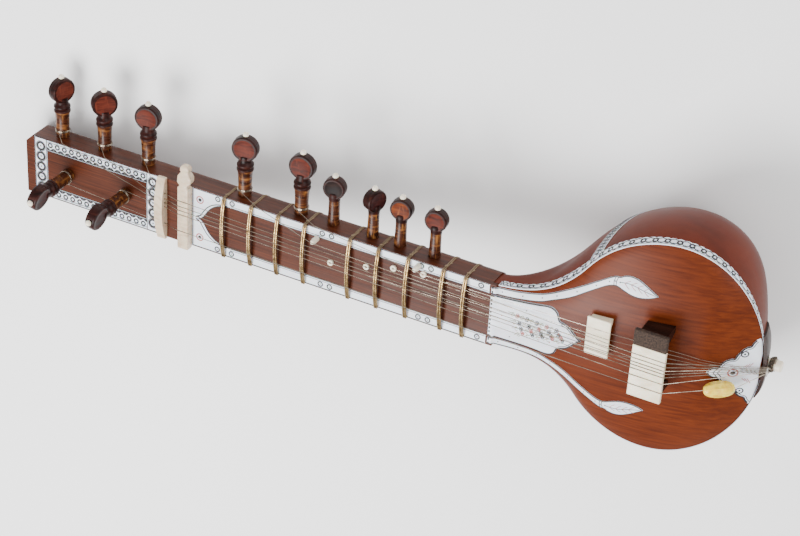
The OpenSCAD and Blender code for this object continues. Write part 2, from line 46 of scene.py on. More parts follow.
# Sizes of the part, in millimetres, in its own level frame: x from head to tail, z up at the neck.
NECK_W, NECK_DEPTH, HEAD_X, JOINT_X = 66, 35, -10, 505
GOURD_R, GOURD_FRONT, GOURD_REAR, GOURD_X, GOURD_DROP = 115, 102, 92, 659, 65
BASE_DROP, TAIL_X, PIN_R = 112, 766, 5.2
BOARD_T, CROWN_H, INLAY_T, BINDING_D, BINDING_T = 3.5, 15.85, 0.8, 9, 0.6
THROAT_X, BODY_END, BAND_W = 589, 750.3, 10
BOARD_X = JOINT_X + 5
RIM_FALL, RIM_BEND, RIM_RUN = 2.3, 13.2, 150
CROWN_X, CROWN_RUN, CROWN_END, CROWN_FADE, CROWN_LOSS = 470, 150, 700, 54, 0.85
RIM_SLOPE, BACK_SLOPE, NECK_SQUARE, TAIL_LEAN = 0.04, -0.03, 4.7, 0.25
HALF_W = NECK_W / 2
LARGE_PEG_X, SMALL_PEG_X = (24, 74, 125, 234.5, 297), (332, 374, 403, 439)
FRONT_PEG_X, PEG_Z = (40.5, 108.5), 15
FRET_X = (221.5, 251.5, 281, 310.5, 359, 389.5, 420.5, 457, 480)
FRET_TOP, FRET_EDGE, FRET_W, FRET_T = 7, 2.6, 4.2, 2.4
GUIDE_X, NUT_X, NUT_H = (147, 156), (173, 185), 9
BRIDGE_AT, BRIDGE_SIZE, BRIDGE_TOP, PLATE_T, CAP_LEN = (664.5, 5.5), (32, 70), 8, 4.5, 16
SMALL_AT, SMALL_SIZE, SMALL_T = (612, 13), (23, 39), 2.5
BEAD_AT, BEAD_HALF, BEAD_R = Vector((723.4, -15.5, -24)), 14.5, 8

# The whole is laid down with a turn about y, so that the gourd's base and the head touch the floor.
reach_x, reach_z = GOURD_X - HEAD_X, NECK_DEPTH - GOURD_DROP
TILT = asin(BASE_DROP / hypot(reach_x, reach_z)) - atan2(reach_z, reach_x)
COS, SIN = cos(TILT), sin(TILT)
LIFT = NECK_DEPTH * COS - HEAD_X * SIN
MID_X = (HEAD_X * COS + TAIL_X * COS + (GOURD_DROP + PIN_R - 1) * SIN) / 2


def turned(v):
    """A direction of the level frame in the frame of the part as it lies."""
    return Vector((v[0] * COS - v[2] * SIN, v[1], v[0] * SIN + v[2] * COS))


def lay(v):
    """A point of the level frame in metres, where the part lies."""
    return (turned(v) + Vector((-MID_X, 0, LIFT))) * MM


# --- The body's surfaces, from the same formulas as the part ---

def ease(t):
    """From 0 to 1 with soft ends."""
    t = min(1, max(0, t))
    return t * t * (3 - 2 * t)


def mix(a, b, t):
    return a + (b - a) * t


def blend(x, x0, y0, m0, x1, y1, m1):
    """A smooth curve through two points, with a slope at each."""
    length, t = x1 - x0, (x - x0) / (x1 - x0)
    return ((2 * t**3 - 3 * t**2 + 1) * y0 + (t**3 - 2 * t**2 + t) * length * m0
            + (3 * t**2 - 2 * t**3) * y1 + (t**3 - t**2) * length * m1)


def rim_z(x):
    """Height of the soundboard's rim."""
    u = max(0, x - BOARD_X) / RIM_RUN
    return -RIM_FALL * u - RIM_BEND * u * u - CROWN_H * ease((x - CROWN_X) / CROWN_RUN)


def crown(x):
    """How far the middle of the soundboard stands over its rim."""
    rise = CROWN_H * ease((x - CROWN_X) / CROWN_RUN)
    return rise * (1 - CROWN_LOSS * ease((x - CROWN_END) / CROWN_FADE))


def gourd_radius(x):
    reach = GOURD_FRONT if x < GOURD_X else GOURD_REAR
    return GOURD_R * sqrt(max(0, 1 - ((x - GOURD_X) / reach) ** 2))


def gourd_rim(x):
    """Half width of the gourd at the rim's height."""
    return sqrt(max(0, gourd_radius(x) ** 2 - (rim_z(x) + GOURD_DROP) ** 2))


def throat_slope(size, step=0.1):
    return (size(THROAT_X + step) - size(THROAT_X - step)) / (2 * step)


SLOPE_R, SLOPE_H = throat_slope(gourd_radius), throat_slope(gourd_rim)


def rim_y(x):
    if x >= THROAT_X:
        return gourd_rim(x)
    return blend(x, JOINT_X, HALF_W - 1, RIM_SLOPE, THROAT_X, gourd_rim(THROAT_X), SLOPE_H)


def back_z(x):
    if x >= THROAT_X:
        return -GOURD_DROP - gourd_radius(x)
    keel = -GOURD_DROP - gourd_radius(THROAT_X)
    return blend(x, JOINT_X, -NECK_DEPTH, BACK_SLOPE, THROAT_X, keel, -SLOPE_R)


def round_off(x):
    """0 where the section is the neck's, and 1 where it is the gourd's."""
    return ease((x - JOINT_X) / (THROAT_X - JOINT_X)) ** 1.6


def belly(x):
    """Height of the widest level, depth below it, half width and squareness of the body at x."""
    level = mix(rim_z(x), -GOURD_DROP, round_off(x))
    depth = level - back_z(x)
    if x >= THROAT_X:
        width = gourd_radius(x)
    else:
        width = rim_y(x) / sqrt(1 - ((rim_z(x) - level) / depth) ** 2)
    return level, depth, width, mix(NECK_SQUARE, 2, round_off(x))


def lean(x):
    return TAIL_LEAN * max(0, (x - GOURD_X) / GOURD_REAR) ** 4


def seated(x, y, z):
    """A point of the skin, leaned forwards at the tail and kept above the floor."""
    along = x - lean(x) * (rim_z(x) - BOARD_T - z)
    floor = -(LIFT + along * SIN) / COS
    return (along, y, max(z, floor))


def skin_at(x, angle, out=0):
    """A point of the skin at +y; angle is 0 at the widest level and -90 at the keel."""
    level, depth, width, square = belly(x)
    power = 2 / square if angle < 0 else 1
    turn = radians(angle)
    y = (width + out) * max(0, cos(turn)) ** power
    rise = (depth + out) * abs(sin(turn)) ** power
    return seated(x, y, level + (-rise if angle < 0 else rise))


def angle_of(x, drop, out=0):
    """The angle at which the skin is a given drop below the rim."""
    level, depth, width, square = belly(x)
    q = (rim_z(x) - drop - level) / (depth + out)
    if q > 0:
        return degrees(asin(min(1, q)))
    return -degrees(asin(min(1, -q) ** (square / 2)))


def face_z(x, y):
    """Height of the face: the flat neck, then the crowned soundboard."""
    if x < BOARD_X:
        return 0
    return rim_z(x) + crown(x) * (1 - min(1, abs(y) / rim_y(x)) ** 2)


# --- Mesh building ---

# Heights over the surface under a mark: its sunk foot, the top of a line, and that of a dot.
MARK_FOOT, LINE_TOP, DOT_TOP, EDGE_DIP = -0.05, 0.14, 0.16, 0.12


def spread(n, a, b):
    """n even steps from a to b."""
    return [mix(a, b, i / (n - 1)) for i in range(n)]


def circle(n):
    """n even angles round a full turn."""
    return spread(n + 1, 0, 2 * pi)[:-1]


def round_line(centre, r, sides):
    return [(centre[0] + r * cos(a), centre[1] + r * sin(a)) for a in circle(sides)]


def way_at(line, i, loop=False):
    """The direction of a line at its point i."""
    n = len(line)
    ahead = line[(i + 1) % n] if loop or i < n - 1 else line[i]
    behind = line[i - 1] if loop or i > 0 else line[i]
    return (ahead - behind).normalized()


def bezier(a, b, c, d, n):
    a, b, c, d = (Vector(p) for p in (a, b, c, d))
    return [a * (1 - t) ** 3 + b * 3 * t * (1 - t) ** 2 + c * 3 * t * t * (1 - t) + d * t**3
            for t in spread(n + 1, 0, 1)]


def smooth_line(points, n):
    """A line through the points with rounded bends."""
    p = [Vector(q) for q in points]
    p = [2 * p[0] - p[1]] + p + [2 * p[-1] - p[-2]]
    line = [0.5 * (2 * b + (c - a) * t + (2 * a - 5 * b + 4 * c - d) * t * t
                   + (3 * b - a - 3 * c + d) * t**3)
            for a, b, c, d in zip(p, p[1:], p[2:], p[3:]) for t in spread(n + 1, 0, 1)[:-1]]
    return line + [p[-2]]


def placed(name, data):
    """A new object in the scene."""
    thing = bpy.data.objects.new(name, data)
    bpy.context.scene.collection.objects.link(thing)
    return thing


class Shape:
    """Closed solids of one piece, in the level frame. Marks lie on its surface(u, v, height)."""

    def __init__(self, surface=None):
        self.verts, self.faces, self.slots = [], [], []
        self.surface = surface

    def loft(self, rings, loop=False, slots=None):
        """A skin through rings of equal count, capped unless it loops."""
        first, n, m = len(self.verts), len(rings[0]), len(rings)
        slots = slots or [0] * m
        self.verts += [tuple(p) for ring in rings for p in ring]
        for j in range(m if loop else m - 1):
            a, b = first + j * n, first + (j + 1) % m * n
            for i in range(n):
                k = (i + 1) % n
                self.faces.append((a + i, a + k, b + k, b + i))
                self.slots.append(slots[j])
        if not loop:
            self.faces += [tuple(range(first, first + n)),
                           tuple(range(first + (m - 1) * n, first + m * n))]
            self.slots += [slots[0], slots[-1]]

    def lathe(self, profile, place, sides, slots=None):
        """A turned solid: profile holds (radius, height), and place puts (x, y, z) of it."""
        rings = [[place((r * cos(a), r * sin(a), h)) for a in circle(sides)] for r, h in profile]
        self.loft(rings, slots=slots)

    def tube(self, line, r, sides):
        """A round rod along a line, without a twist."""
        line = [Vector(p) for p in line]
        side, rings = way_at(line, 0).orthogonal(), []
        for i, p in enumerate(line):
            way = way_at(line, i)
            side = (side - side.dot(way) * way).normalized()
            other = way.cross(side)
            rings.append([p + r * (cos(a) * side + sin(a) * other) for a in circle(sides)])
        self.loft(rings)

    def ribbon(self, line, width, loop=False):
        """A thin flat band along a line (u, v)."""
        line = [Vector(p) for p in line]
        rings = []
        for i, p in enumerate(line):
            way = way_at(line, i, loop)
            side = Vector((-way[1], way[0])) * width / 2
            a, b = p + side, p - side
            section = ((a, MARK_FOOT), (b, MARK_FOOT), (b, LINE_TOP), (a, LINE_TOP))
            rings.append([self.surface(q[0], q[1], h) for q, h in section])
        self.loft(rings, loop)

    def panel(self, low, high, across=2, top=DOT_TOP, foot=MARK_FOOT):
        """A thin draped sheet between two edge lines of equal count."""
        rings = []
        for a, b in zip(low, high):
            row = [(mix(a[0], b[0], t), mix(a[1], b[1], t)) for t in spread(across + 1, 0, 1)]
            dips = [EDGE_DIP * (k in (0, across)) for k in range(across + 1)]
            rings.append([self.surface(u, v, top - dip) for (u, v), dip in zip(row, dips)]
                         + [self.surface(u, v, foot) for u, v in reversed(row)])
        self.loft(rings)

    def patch(self, outline, top):
        """A flat mark with the outline given."""
        self.loft([[self.surface(u, v, h) for u, v in outline] for h in (MARK_FOOT, top)])

    def ring(self, centre, r, width, sides=20):
        self.ribbon(round_line(centre, r, sides), width, True)

    def dot(self, centre, r, sides=12):
        self.patch(round_line(centre, r, sides), DOT_TOP)

    def make(self, name, looks, *replaces, body=INSTRUMENT, sharp=38):
        """The finished piece, in place of the nodes named."""
        mesh = bpy.data.meshes.new(name)
        mesh.from_pydata([lay(v) for v in self.verts], [], self.faces)
        mesh.polygons.foreach_set("material_index", self.slots)
        work = bmesh.new()
        work.from_mesh(mesh)
        bmesh.ops.recalc_face_normals(work, faces=work.faces)
        for face in work.faces:
            face.smooth = True
        for edge in work.edges:
            edge.smooth = not edge.is_manifold or edge.calc_face_angle(0) < radians(sharp)
        work.to_mesh(mesh)
        work.free()
        for look in looks if isinstance(looks, list) else [looks]:
            mesh.materials.append(look)
        piece = placed(name, mesh)
        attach(piece, body)
        if replaces:
            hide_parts(*replaces)


def make_solid(rings, name, look, *replaces):
    """A piece of the instrument that is one skin through rings."""
    solid = Shape()
    solid.loft(rings)
    solid.make(name, look, *replaces)


# --- Materials ---

MIX_AMOUNT, MIX_A, MIX_B, MIX_COLOUR = 0, 6, 7, 2


def colour(tone):
    """A display colour, from 0 to 255, in linear light."""
    parts = [value / 255 for value in tone]
    return (*[p / 12.92 if p < 0.04045 else ((p + 0.055) / 1.055) ** 2.4 for p in parts], 1)


class Look:
    """A material with textures in millimetres, in the level frame."""

    def __init__(self, name, rough=0.4, metallic=0, coat=0, coat_rough=0.1, glow=0, shine=0.3):
        self.material = bpy.data.materials.new(name)
        self.material.use_nodes = True
        self.tree = self.material.node_tree
        self.shader = self.tree.nodes["Principled BSDF"]
        self.fill(self.shader, Roughness=rough, Metallic=metallic, Coat_Weight=coat,
                  Coat_Roughness=coat_rough, Subsurface_Weight=glow, Subsurface_Scale=4 * MM,
                  Specular_IOR_Level=shine)
        place = self.add("TexCoord").outputs["Object"]
        level = self.add("Mapping", Rotation=(0, TILT, 0), Scale=(1 / MM, 1 / MM, 1 / MM),
                         Vector=place)
        self.place = level.outputs["Vector"]
        self.last_normal = None

    def put(self, value, socket):
        """Feeds a node's input with a value or another node's output."""
        if isinstance(value, bpy.types.NodeSocket):
            self.tree.links.new(value, socket)
        else:
            socket.default_value = value

    def fill(self, node, **values):
        """Feeds a node's inputs, named with _ for a space."""
        for name, value in values.items():
            self.put(value, node.inputs[name.replace("_", " ")])
        return node

    def add(self, kind, **values):
        return self.fill(self.tree.nodes.new("ShaderNode" + kind), **values)

    def noise(self, size, detail=3, wobble=0):
        """Cloudy noise with lumps of a size along x, y and z."""
        scaled = self.add("Mapping", Scale=[1 / s for s in size], Vector=self.place)
        return self.add("TexNoise", Scale=1, Detail=detail, Distortion=wobble,
                        Vector=scaled.outputs["Vector"]).outputs["Fac"]

    def ramp(self, value, stops):
        """Colours at places from 0 to 1 of a value."""
        ramp = self.add("ValToRGB", Fac=value)
        points = ramp.color_ramp.elements
        for _ in stops[2:]:
            points.new(0.5)
        for point, (place, tint) in zip(points, stops):
            point.position = place
            point.color = colour(tint)
        return ramp.outputs["Color"]

    def mixed(self, amount, a, b):
        """A mix of two display colours or nodes' outputs."""
        node = self.add("Mix")
        node.data_type = "RGBA"
        self.put(amount, node.inputs[MIX_AMOUNT])
        for place, value in ((MIX_A, a), (MIX_B, b)):
            self.put(colour(value) if isinstance(value, tuple) else value, node.inputs[place])
        return node.outputs[MIX_COLOUR]

    def between(self, value, low, high, start=0.3, end=0.7):
        """A value from low to high as another goes from start to end."""
        return self.add("MapRange", From_Min=start, From_Max=end, To_Min=low, To_Max=high,
                        Value=value).outputs["Result"]

    def bump(self, value, height, strength):
        """Relief in millimetres, on top of any before it."""
        node = self.add("Bump", Strength=strength, Distance=height * MM, Height=value)
        if self.last_normal:
            self.fill(node, Normal=self.last_normal)
        self.last_normal = node.outputs["Normal"]
        self.fill(self.shader, Normal=self.last_normal)

    def paint(self, tint, **more):
        self.fill(self.shader, Base_Color=tint, **more)
        return self.material


def wood(name, dark, mid, light, rough=(0.34, 0.48), coat=0.04, grain=(70, 1.6, 3.2),
         coat_rough=0.25, shine=0.14):
    """Varnished wood: growth streaks, fine pores and cloudy wear."""
    look = Look(name, coat=coat, coat_rough=coat_rough, shine=shine)
    streaks = look.noise(grain, 5, 0.4)
    pores = look.noise((9, 0.35, 0.35), 2)
    cloud = look.noise((45, 30, 30), 3)
    tint = look.ramp(streaks, [(0.3, dark), (0.52, mid), (0.75, light)])
    tint = look.mixed(look.between(pores, 0, 0.55, 0.56, 0.72), tint, dark)
    tint = look.mixed(look.between(cloud, 0, 0.4, 0.45, 0.75), tint, light)
    look.bump(pores, 0.04, 0.25)
    look.bump(streaks, 0.08, 0.15)
    return look.paint(tint, Roughness=look.between(cloud, *rough))


def lacquer(name, dark, mid, light):
    """Lacquered gourd: soft clouds, small specks, shallow dents."""
    look = Look(name, coat=0.02, coat_rough=0.3, shine=0.06)
    cloud = look.noise((60, 45, 45), 4, 0.3)
    speck = look.noise((2.2, 1.6, 1.6), 2)
    dents = look.noise((36, 36, 36), 1)
    tint = look.ramp(cloud, [(0.3, dark), (0.5, mid), (0.75, light)])
    tint = look.mixed(look.between(speck, 0, 0.3, 0.58, 0.75), tint, dark)
    look.bump(dents, 0.4, 0.15)
    look.bump(speck, 0.03, 0.15)
    return look.paint(tint, Roughness=look.between(cloud, 0.34, 0.44))


def polished(name, base, stain, size, amount=0.5):
    """Bone or celluloid: a pale body with soft stains and fine scratches."""
    look = Look(name, coat=0.25, coat_rough=0.15, glow=0.15)
    cloud = look.noise((size, size * 0.6, size), 4, 0.5)
    scratch = look.noise((14, 0.5, 0.5), 2)
    tint = look.mixed(look.between(cloud, 0, amount, 0.45, 0.8), base, stain)
    tint = look.mixed(look.between(scratch, 0, 0.3, 0.6, 0.75), tint, stain)
    look.bump(scratch, 0.04, 0.3)
    return look.paint(tint, Roughness=look.between(cloud, 0.25, 0.45))


def metal(name, bright, dull, rough):
    """Handled metal: tarnish in soft patches and drawn scratches."""
    look = Look(name, metallic=1)
    cloud = look.noise((9, 6, 6), 4)
    drawn = look.noise((0.4, 12, 3), 2)
    tint = look.mixed(look.between(cloud, 0, 1, 0.4, 0.7), bright, dull)
    look.bump(drawn, 0.03, 0.3)
    return look.paint(tint, Roughness=look.between(cloud, *rough))


def matte(name, base, other, rough, size=3):
    """Ink, thread or worn wood: matte, with a little mottle."""
    look = Look(name, rough=rough)
    cloud = look.noise((size, size, size), 3)
    tint = look.mixed(look.between(cloud, 0, 1), base, other)
    look.bump(cloud, 0.1, 0.4)
    return look.paint(tint)


def peg_wood(name, dark, mid, worn, rough=(0.22, 0.4), shine=0.2):
    """Turned pegs: dark lacquer, rubbed through to golden brown in streaks."""
    look = Look(name, coat=0.04, coat_rough=0.3, shine=shine)
    rings = look.noise((14, 3, 14), 4, 0.6)
    streaks = look.noise((3, 16, 3), 3, 0.3)
    tint = look.ramp(rings, [(0.3, dark), (0.55, mid), (0.8, worn)])
    tint = look.mixed(look.between(streaks, 0, 0.8, 0.56, 0.74), tint, worn)
    look.bump(streaks, 0.12, 0.3)
    return look.paint(tint, Roughness=look.between(rings, *rough))


NECK_WOOD = wood("neck_wood", (44, 18, 8), (68, 29, 13), (88, 41, 18))
BOARD_WOOD = wood("board_wood", (72, 25, 5), (88, 34, 8), (101, 42, 12),
                  rough=(0.32, 0.4), coat=0.03, grain=(150, 2.4, 6), coat_rough=0.35, shine=0.15)
GOURD_SKIN = lacquer("gourd_skin", (70, 26, 15), (86, 34, 20), (98, 42, 26))
DARK_WOOD = wood("dark_wood", (20, 9, 6), (36, 17, 11), (56, 30, 20), coat=0.05)
# The bridge cap's own dark colour; the same material also paints the dark shadow lines beside the strings
# on the bridges.
DARK_CAP_AND_SHADE = matte("dark_cap_and_shade", (30, 22, 18), (66, 50, 40), 0.85, 1.6)
CELLULOID = polished("celluloid", (226, 228, 236), (190, 186, 190), size=20)
BONE = polished("bone", (236, 226, 206), (176, 146, 112), size=10)
OLD_BONE = polished("old_bone", (204, 184, 158), (150, 122, 92), size=9, amount=0.7)
IVORY = polished("ivory", (236, 224, 198), (198, 178, 140), size=16, amount=0.7)
INK = matte("ink", (22, 20, 22), (48, 44, 46), 0.45)
RED_INK = matte("red_ink", (150, 52, 48), (176, 92, 84), 0.5)
GREEN_INK = matte("green_ink", (96, 108, 62), (140, 134, 84), 0.5)
BRASS = metal("brass", (176, 148, 104), (100, 78, 50), (0.18, 0.34))
WIRE = metal("wire", (176, 164, 148), (108, 92, 76), (0.2, 0.35))
THREAD = matte("thread", (150, 130, 104), (104, 84, 62), 0.8, 0.8)
WINDING = matte("winding", (46, 38, 32), (92, 78, 62), 0.6, 1.2)
SATIN, SATIN_SHINE = (0.5, 0.65), 0.08
PEG_TONES = {"brown": ((50, 18, 12), (80, 32, 22), (98, 44, 30)),
             "black": ((14, 9, 9), (28, 16, 14), (46, 30, 24)),
             "maroon": ((26, 9, 9), (46, 16, 15), (70, 34, 28)),
             "orange": ((64, 24, 10), (96, 42, 18), (124, 64, 30))}
PEG_LOOKS = {name: peg_wood(f"peg_{name}", *tones, SATIN, SATIN_SHINE)
             for name, tones in PEG_TONES.items()}
PEG_STEM = peg_wood("peg_stem", (34, 14, 8), (66, 32, 16), (142, 92, 44))
PEG_RING = peg_wood("peg_ring", (18, 7, 5), (38, 13, 10), (58, 26, 18), (0.32, 0.48), 0.1)


def paint_node(node, look):
    """Gives a carried-over CAD node its material in every slot."""
    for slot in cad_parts[node].material_slots:
        slot.material = look


for node_look, node_names in (
        (NECK_WOOD, ("neck_trough", "neck_face_board")),
        (CELLULOID, ("head_inlay", "neck_inlay")),
        (OLD_BONE, ("string_guide",)),
        (BONE, ("chikari_posts", "string_buttons", "tail_pin")),
        (WIRE, ("main_strings", "chikari_strings", "sympathetic_strings"))):
    for node_name in node_names:
        paint_node(node_name, node_look)


# --- The body ---

TURN_END = asin((BODY_END - GOURD_X) / GOURD_REAR)
GOURD_STATIONS = ([GOURD_X + GOURD_FRONT * sin(a)
                   for a in spread(30, asin((THROAT_X - GOURD_X) / GOURD_FRONT), 0)]
                  + [GOURD_X + GOURD_REAR * sin(a) for a in spread(34, 0, TURN_END)[1:]])
COLLAR_STATIONS = spread(30, JOINT_X, THROAT_X)
BOARD_STATIONS = [BOARD_X] + COLLAR_STATIONS[2:] + GOURD_STATIONS[1:]
RING_N, BOARD_N, BOARD_ROUND = 36, 40, 0.5
# The smooth skin is this much inside the part's curve, which keeps it within the faceted part's box.
SKIN_TRIM = 0.09


def body_ring(x):
    """A section of the body's skin, below the soundboard."""
    top = angle_of(x, BOARD_T, -SKIN_TRIM)
    side = [skin_at(x, a, -SKIN_TRIM) for a in spread(RING_N, top, -90)]
    return side + [(p[0], -p[1], p[2]) for p in reversed(side[:-1])]


def board_ring(x):
    """A section of the soundboard, with its top edge rounded over."""
    width, rim = rim_y(x), rim_z(x)
    top = [(x, v * width, rim + crown(x) * (1 - v * v)) for v in spread(BOARD_N, 1, -1)]
    top[0] = (x, width, rim - BOARD_ROUND)
    top[-1] = (x, -width, rim - BOARD_ROUND)
    return [(x, -width, rim - BOARD_T), (x, width, rim - BOARD_T)] + top


# Pairs of distance along the rim and x, for marks that are spaced evenly round it.
RIM_N, RIM_X = 900, (BOARD_X + 1, BODY_END - 0.3)
RIM = [(0, RIM_X[0])]
for rim_x in spread(RIM_N, *RIM_X)[1:]:
    before = RIM[-1][1]
    rim_step = dist((before, rim_y(before), rim_z(before)), (rim_x, rim_y(rim_x), rim_z(rim_x)))
    RIM.append((RIM[-1][0] + rim_step, rim_x))
RIM_LENGTH = RIM[-1][0]


def rim_x_at(distance):
    """The place along x at a distance along the rim."""
    high = min(max(bisect_left(RIM, (distance,)), 1), RIM_N - 1)
    (a, xa), (b, xb) = RIM[high - 1], RIM[high]
    return mix(xa, xb, min(1, max(0, (distance - a) / (b - a))))


def on_skin(side):
    """The body's surface: distance along the rim, drop below it, height."""
    def place(distance, drop, height):
        x = rim_x_at(distance)
        out = BINDING_T + height
        p = skin_at(x, angle_of(x, drop, out), out)
        return (p[0], side * p[1], p[2])
    return place


TAIL_SHARE, TAPER_RUN, SINK = 0.45, 130, 0.3
LOBE_PITCH, LOBE_DEEP, BAND_STEP, RIM_PITCH = 6.4, 0.9, 0.8, 11


def binding_width(distance):
    """The band is full width along the collar and narrows towards the tail."""
    left = RIM_LENGTH - distance
    return BINDING_D * mix(TAIL_SHARE, 1, ease(left / TAPER_RUN))


def make_binding():
    """The white band on both sides, with a lobed lower edge."""
    count = int(RIM_LENGTH / BAND_STEP)
    band, marks = Shape(), Shape()
    for side in (1, -1):
        place = on_skin(side)
        rings = []
        for distance in spread(count, 0, RIM_LENGTH):
            lobe = abs(sin(pi * distance / LOBE_PITCH)) ** 0.7
            deep = binding_width(distance) - LOBE_DEEP + LOBE_DEEP * lobe
            drops = [0.1, 0.4] + spread(5, 1.2, deep - 0.3) + [deep]
            rises = [-0.1, 0.02, 0, 0, 0, 0, -0.02, -0.2]
            outer = [place(distance, d, h) for d, h in zip(drops, rises)]
            inner = [place(distance, d, -BINDING_T - SINK) for d in (drops[-1], drops[0])]
            rings.append(outer + inner)
        band.loft(rings)
        marks.surface = place
        rim_marks(marks)
    band.make("binding_band", CELLULOID, "rim_binding")
    marks.make("binding_marks", INK)


def rim_marks(marks):
    """Rings and scallops round the rim, a line above, and crosses at the start."""
    for i in range(int(RIM_LENGTH / RIM_PITCH) - 1):
        rim_mark(marks, (i + 1.6) * RIM_PITCH)
    for d in (0.8, 11):
        marks.ribbon([(d, 0.6), (d, 8.2)], 0.7)
    for middle in (2.6, 5.9, 9.2):
        for way in (-1, 1):
            marks.ribbon([(middle - 1.6, 4.4 - way * 3.4), (middle + 1.6, 4.4 + way * 3.4)], 0.8)
    marks.ribbon([(d, 0.1 * binding_width(d)) for d in spread(160, 1, RIM_LENGTH - 3)], 0.45)


def rim_mark(marks, centre):
    """One ring, the arcs round it, and the peak before the next."""
    width = binding_width(centre)
    small = width / BINDING_D
    marks.ring((centre, 0.5 * width), 2.1 * small, 1.6 * small, 18)
    for start, bulge in ((0.2, 0.16), (0.86, -0.16)):
        marks.ribbon([(centre + RIM_PITCH * t, width * (start + bulge * sin(pi * (t + 0.5))))
                      for t in spread(9, -0.5, 0.5)], 0.85 * small)
    peak = [(centre + RIM_PITCH * (0.5 + 0.16 * t), width * (0.34 - 0.1 * abs(t))) for t in (-1, 0, 1)]
    marks.panel([(d, width * 0.18) for d, _ in peak], peak)


BAND_SLANT, BAND_BEND, BAND_TURNS, DOT_COUNT, DOT_GAP = 11, 50, 121, 86, 2.4


def on_throat(across, turn, height):
    """The collar band's surface: place across, degrees from rim to rim, height."""
    side = 1 if turn <= 90 else -1
    angle = min(turn, 180 - turn)
    x = THROAT_X - 2 + BAND_SLANT * ease(angle / BAND_BEND) + across
    start = angle_of(x, BINDING_D - 1, BINDING_T)
    p = skin_at(x, mix(start, -90, angle / 90), BINDING_T + height)
    return (p[0], side * p[1], p[2])


def make_collar_band():
    """A slanting white band round the gourd's throat."""
    section = ((0, -0.9), (0, -0.15), (0.4, 0), (BAND_W - 0.4, 0), (BAND_W, -0.15), (BAND_W, -0.9))
    rings = [[on_throat(across, turn, h) for across, h in section]
             for turn in spread(BAND_TURNS, 0, 180)]
    make_solid(rings, "collar_band_skin", CELLULOID, "collar_band")


def make_collar_marks():
    """Three rows of dark dots between two lines."""
    marks = Shape(on_throat)
    step = 180 / DOT_COUNT
    for i in range(DOT_COUNT):
        for row, size, shift in ((2.9, 0.8, 0.5), (5, 1, 0), (7.1, 0.8, 0.5)):
            turn = (i + 0.5 + shift) * step
            if turn < 179:
                marks.patch([(row + size * cos(a), turn + size * step / DOT_GAP * sin(a))
                             for a in circle(8)], LINE_TOP)
    for across in (1.1, BAND_W - 1.1):
        marks.ribbon([(across, turn) for turn in spread(BAND_TURNS, 0, 180)], 0.6)
    marks.make("collar_band_marks", INK)


make_solid([body_ring(x) for x in GOURD_STATIONS], "gourd_skin", GOURD_SKIN, "gourd_shell")
make_solid([body_ring(x) for x in COLLAR_STATIONS], "collar_skin", GOURD_SKIN, "throat_collar")
make_solid([board_ring(x) for x in BOARD_STATIONS], "board_skin", BOARD_WOOD, "soundboard")
make_binding()
make_collar_band()
make_collar_marks()


# --- Frets ---

ARCH_R = (HALF_W**2 + (FRET_TOP - FRET_EDGE) ** 2) / 2 / (FRET_TOP - FRET_EDGE)
NECK_ROUND, THREAD_R, THREAD_TURNS = 15, 0.28, 4


def arch_z(y):
    """Height of the top of a fret's arch."""
    return FRET_TOP - ARCH_R + sqrt(ARCH_R**2 - y * y)


def neck_outline(out):
    """Points round the neck's back, from the face at +y to -y, a distance out."""
    half, deep, r = HALF_W + out, NECK_DEPTH + out, NECK_ROUND + out
    corner = [(half - r + r * cos(a), r - deep - r * sin(a)) for a in spread(10, 0, pi / 2)]
    foot = (HALF_W - 1.4, arch_z(HALF_W - 1.4) + out * 0.6)
    side = [foot, (half - 0.1, 1.6), (half, -1)] + corner
    return side + [(-y, z) for y, z in reversed(side)]


def make_fret_bar(x, number):
    """An arched bar with two ridges, on two feet."""
    bar = Shape()
    half = FRET_W / 2
    section = [(u, -0.6 * (1 - abs(sin(pi * u / half)) ** 0.75)) for u in spread(25, -half, half)]
    section += [(half, -1.6), (half - 0.5, -FRET_T), (0.5 - half, -FRET_T), (-half, -1.6)]
    rings = []
    for y in spread(45, -HALF_W, HALF_W):
        end = ease((HALF_W - abs(y)) / 1.6)
        wide, high, dip = mix(0.8, 1, end), mix(0.7, 1, end), 0.35 * (1 - end)
        rings.append([(x + u * wide, y, max(0.1, arch_z(y) + w * high - dip)) for u, w in section])
    bar.loft(rings)
    foot = ((-1.9, 0.08), (1.9, 0.08), (1.9, 1.5), (-1.9, 1.5))
    for way in (-1, 1):
        bar.loft([[(x + u, way * y, w) for u, w in foot] for y in (HALF_W - 3, HALF_W - 0.2)])
    bar.make(f"fret_bar_{number}", BRASS, f"fret_{number}", body=f"fret_body_{number}", sharp=50)


def make_fret_tie(x, number):
    """Thread round the neck, with a knot and loose ends at the peg side."""
    ties = Shape()
    for k in range(THREAD_TURNS):
        shift = (k - (THREAD_TURNS - 1) / 2) * 0.8
        drift = 0.25 * sin(3.1 * k + number - 1)
        around = enumerate(neck_outline(0.32 + 0.06 * (k % 2)))
        ties.tube(smooth_line([(x + shift + drift * sin(n / 4), y, z) for n, (y, z) in around], 2),
                  THREAD_R, 8)
    back = HALF_W + 0.9
    for k in range(2):
        loose = [(x - 1 + k * 1.4, back - 0.2, -3 - k), (x + 0.5, back + 0.6, -4.5 - k),
                 (x + 1.5 + k, back + 0.9 + 0.4 * k, -6.2 - 1.5 * k),
                 (x + 2.2 + 1.6 * k, back + 1.4 + 0.6 * k, -6.4 - 2.6 * k)]
        ties.tube(smooth_line(loose, 4), 0.3, 6)
    knot = [(x - 1.6, back - 0.1, -4.2), (x, back + 0.7, -3.7), (x + 1.6, back - 0.1, -4.4)]
    ties.tube(smooth_line(knot, 4), 0.55, 8)
    ties.make(f"fret_tie_{number}", THREAD, body=f"fret_body_{number}")


for fret_i, fret_x in enumerate(FRET_X):
    make_fret_bar(fret_x, fret_i + 1)
    make_fret_tie(fret_x, fret_i + 1)


# --- Pegs ---

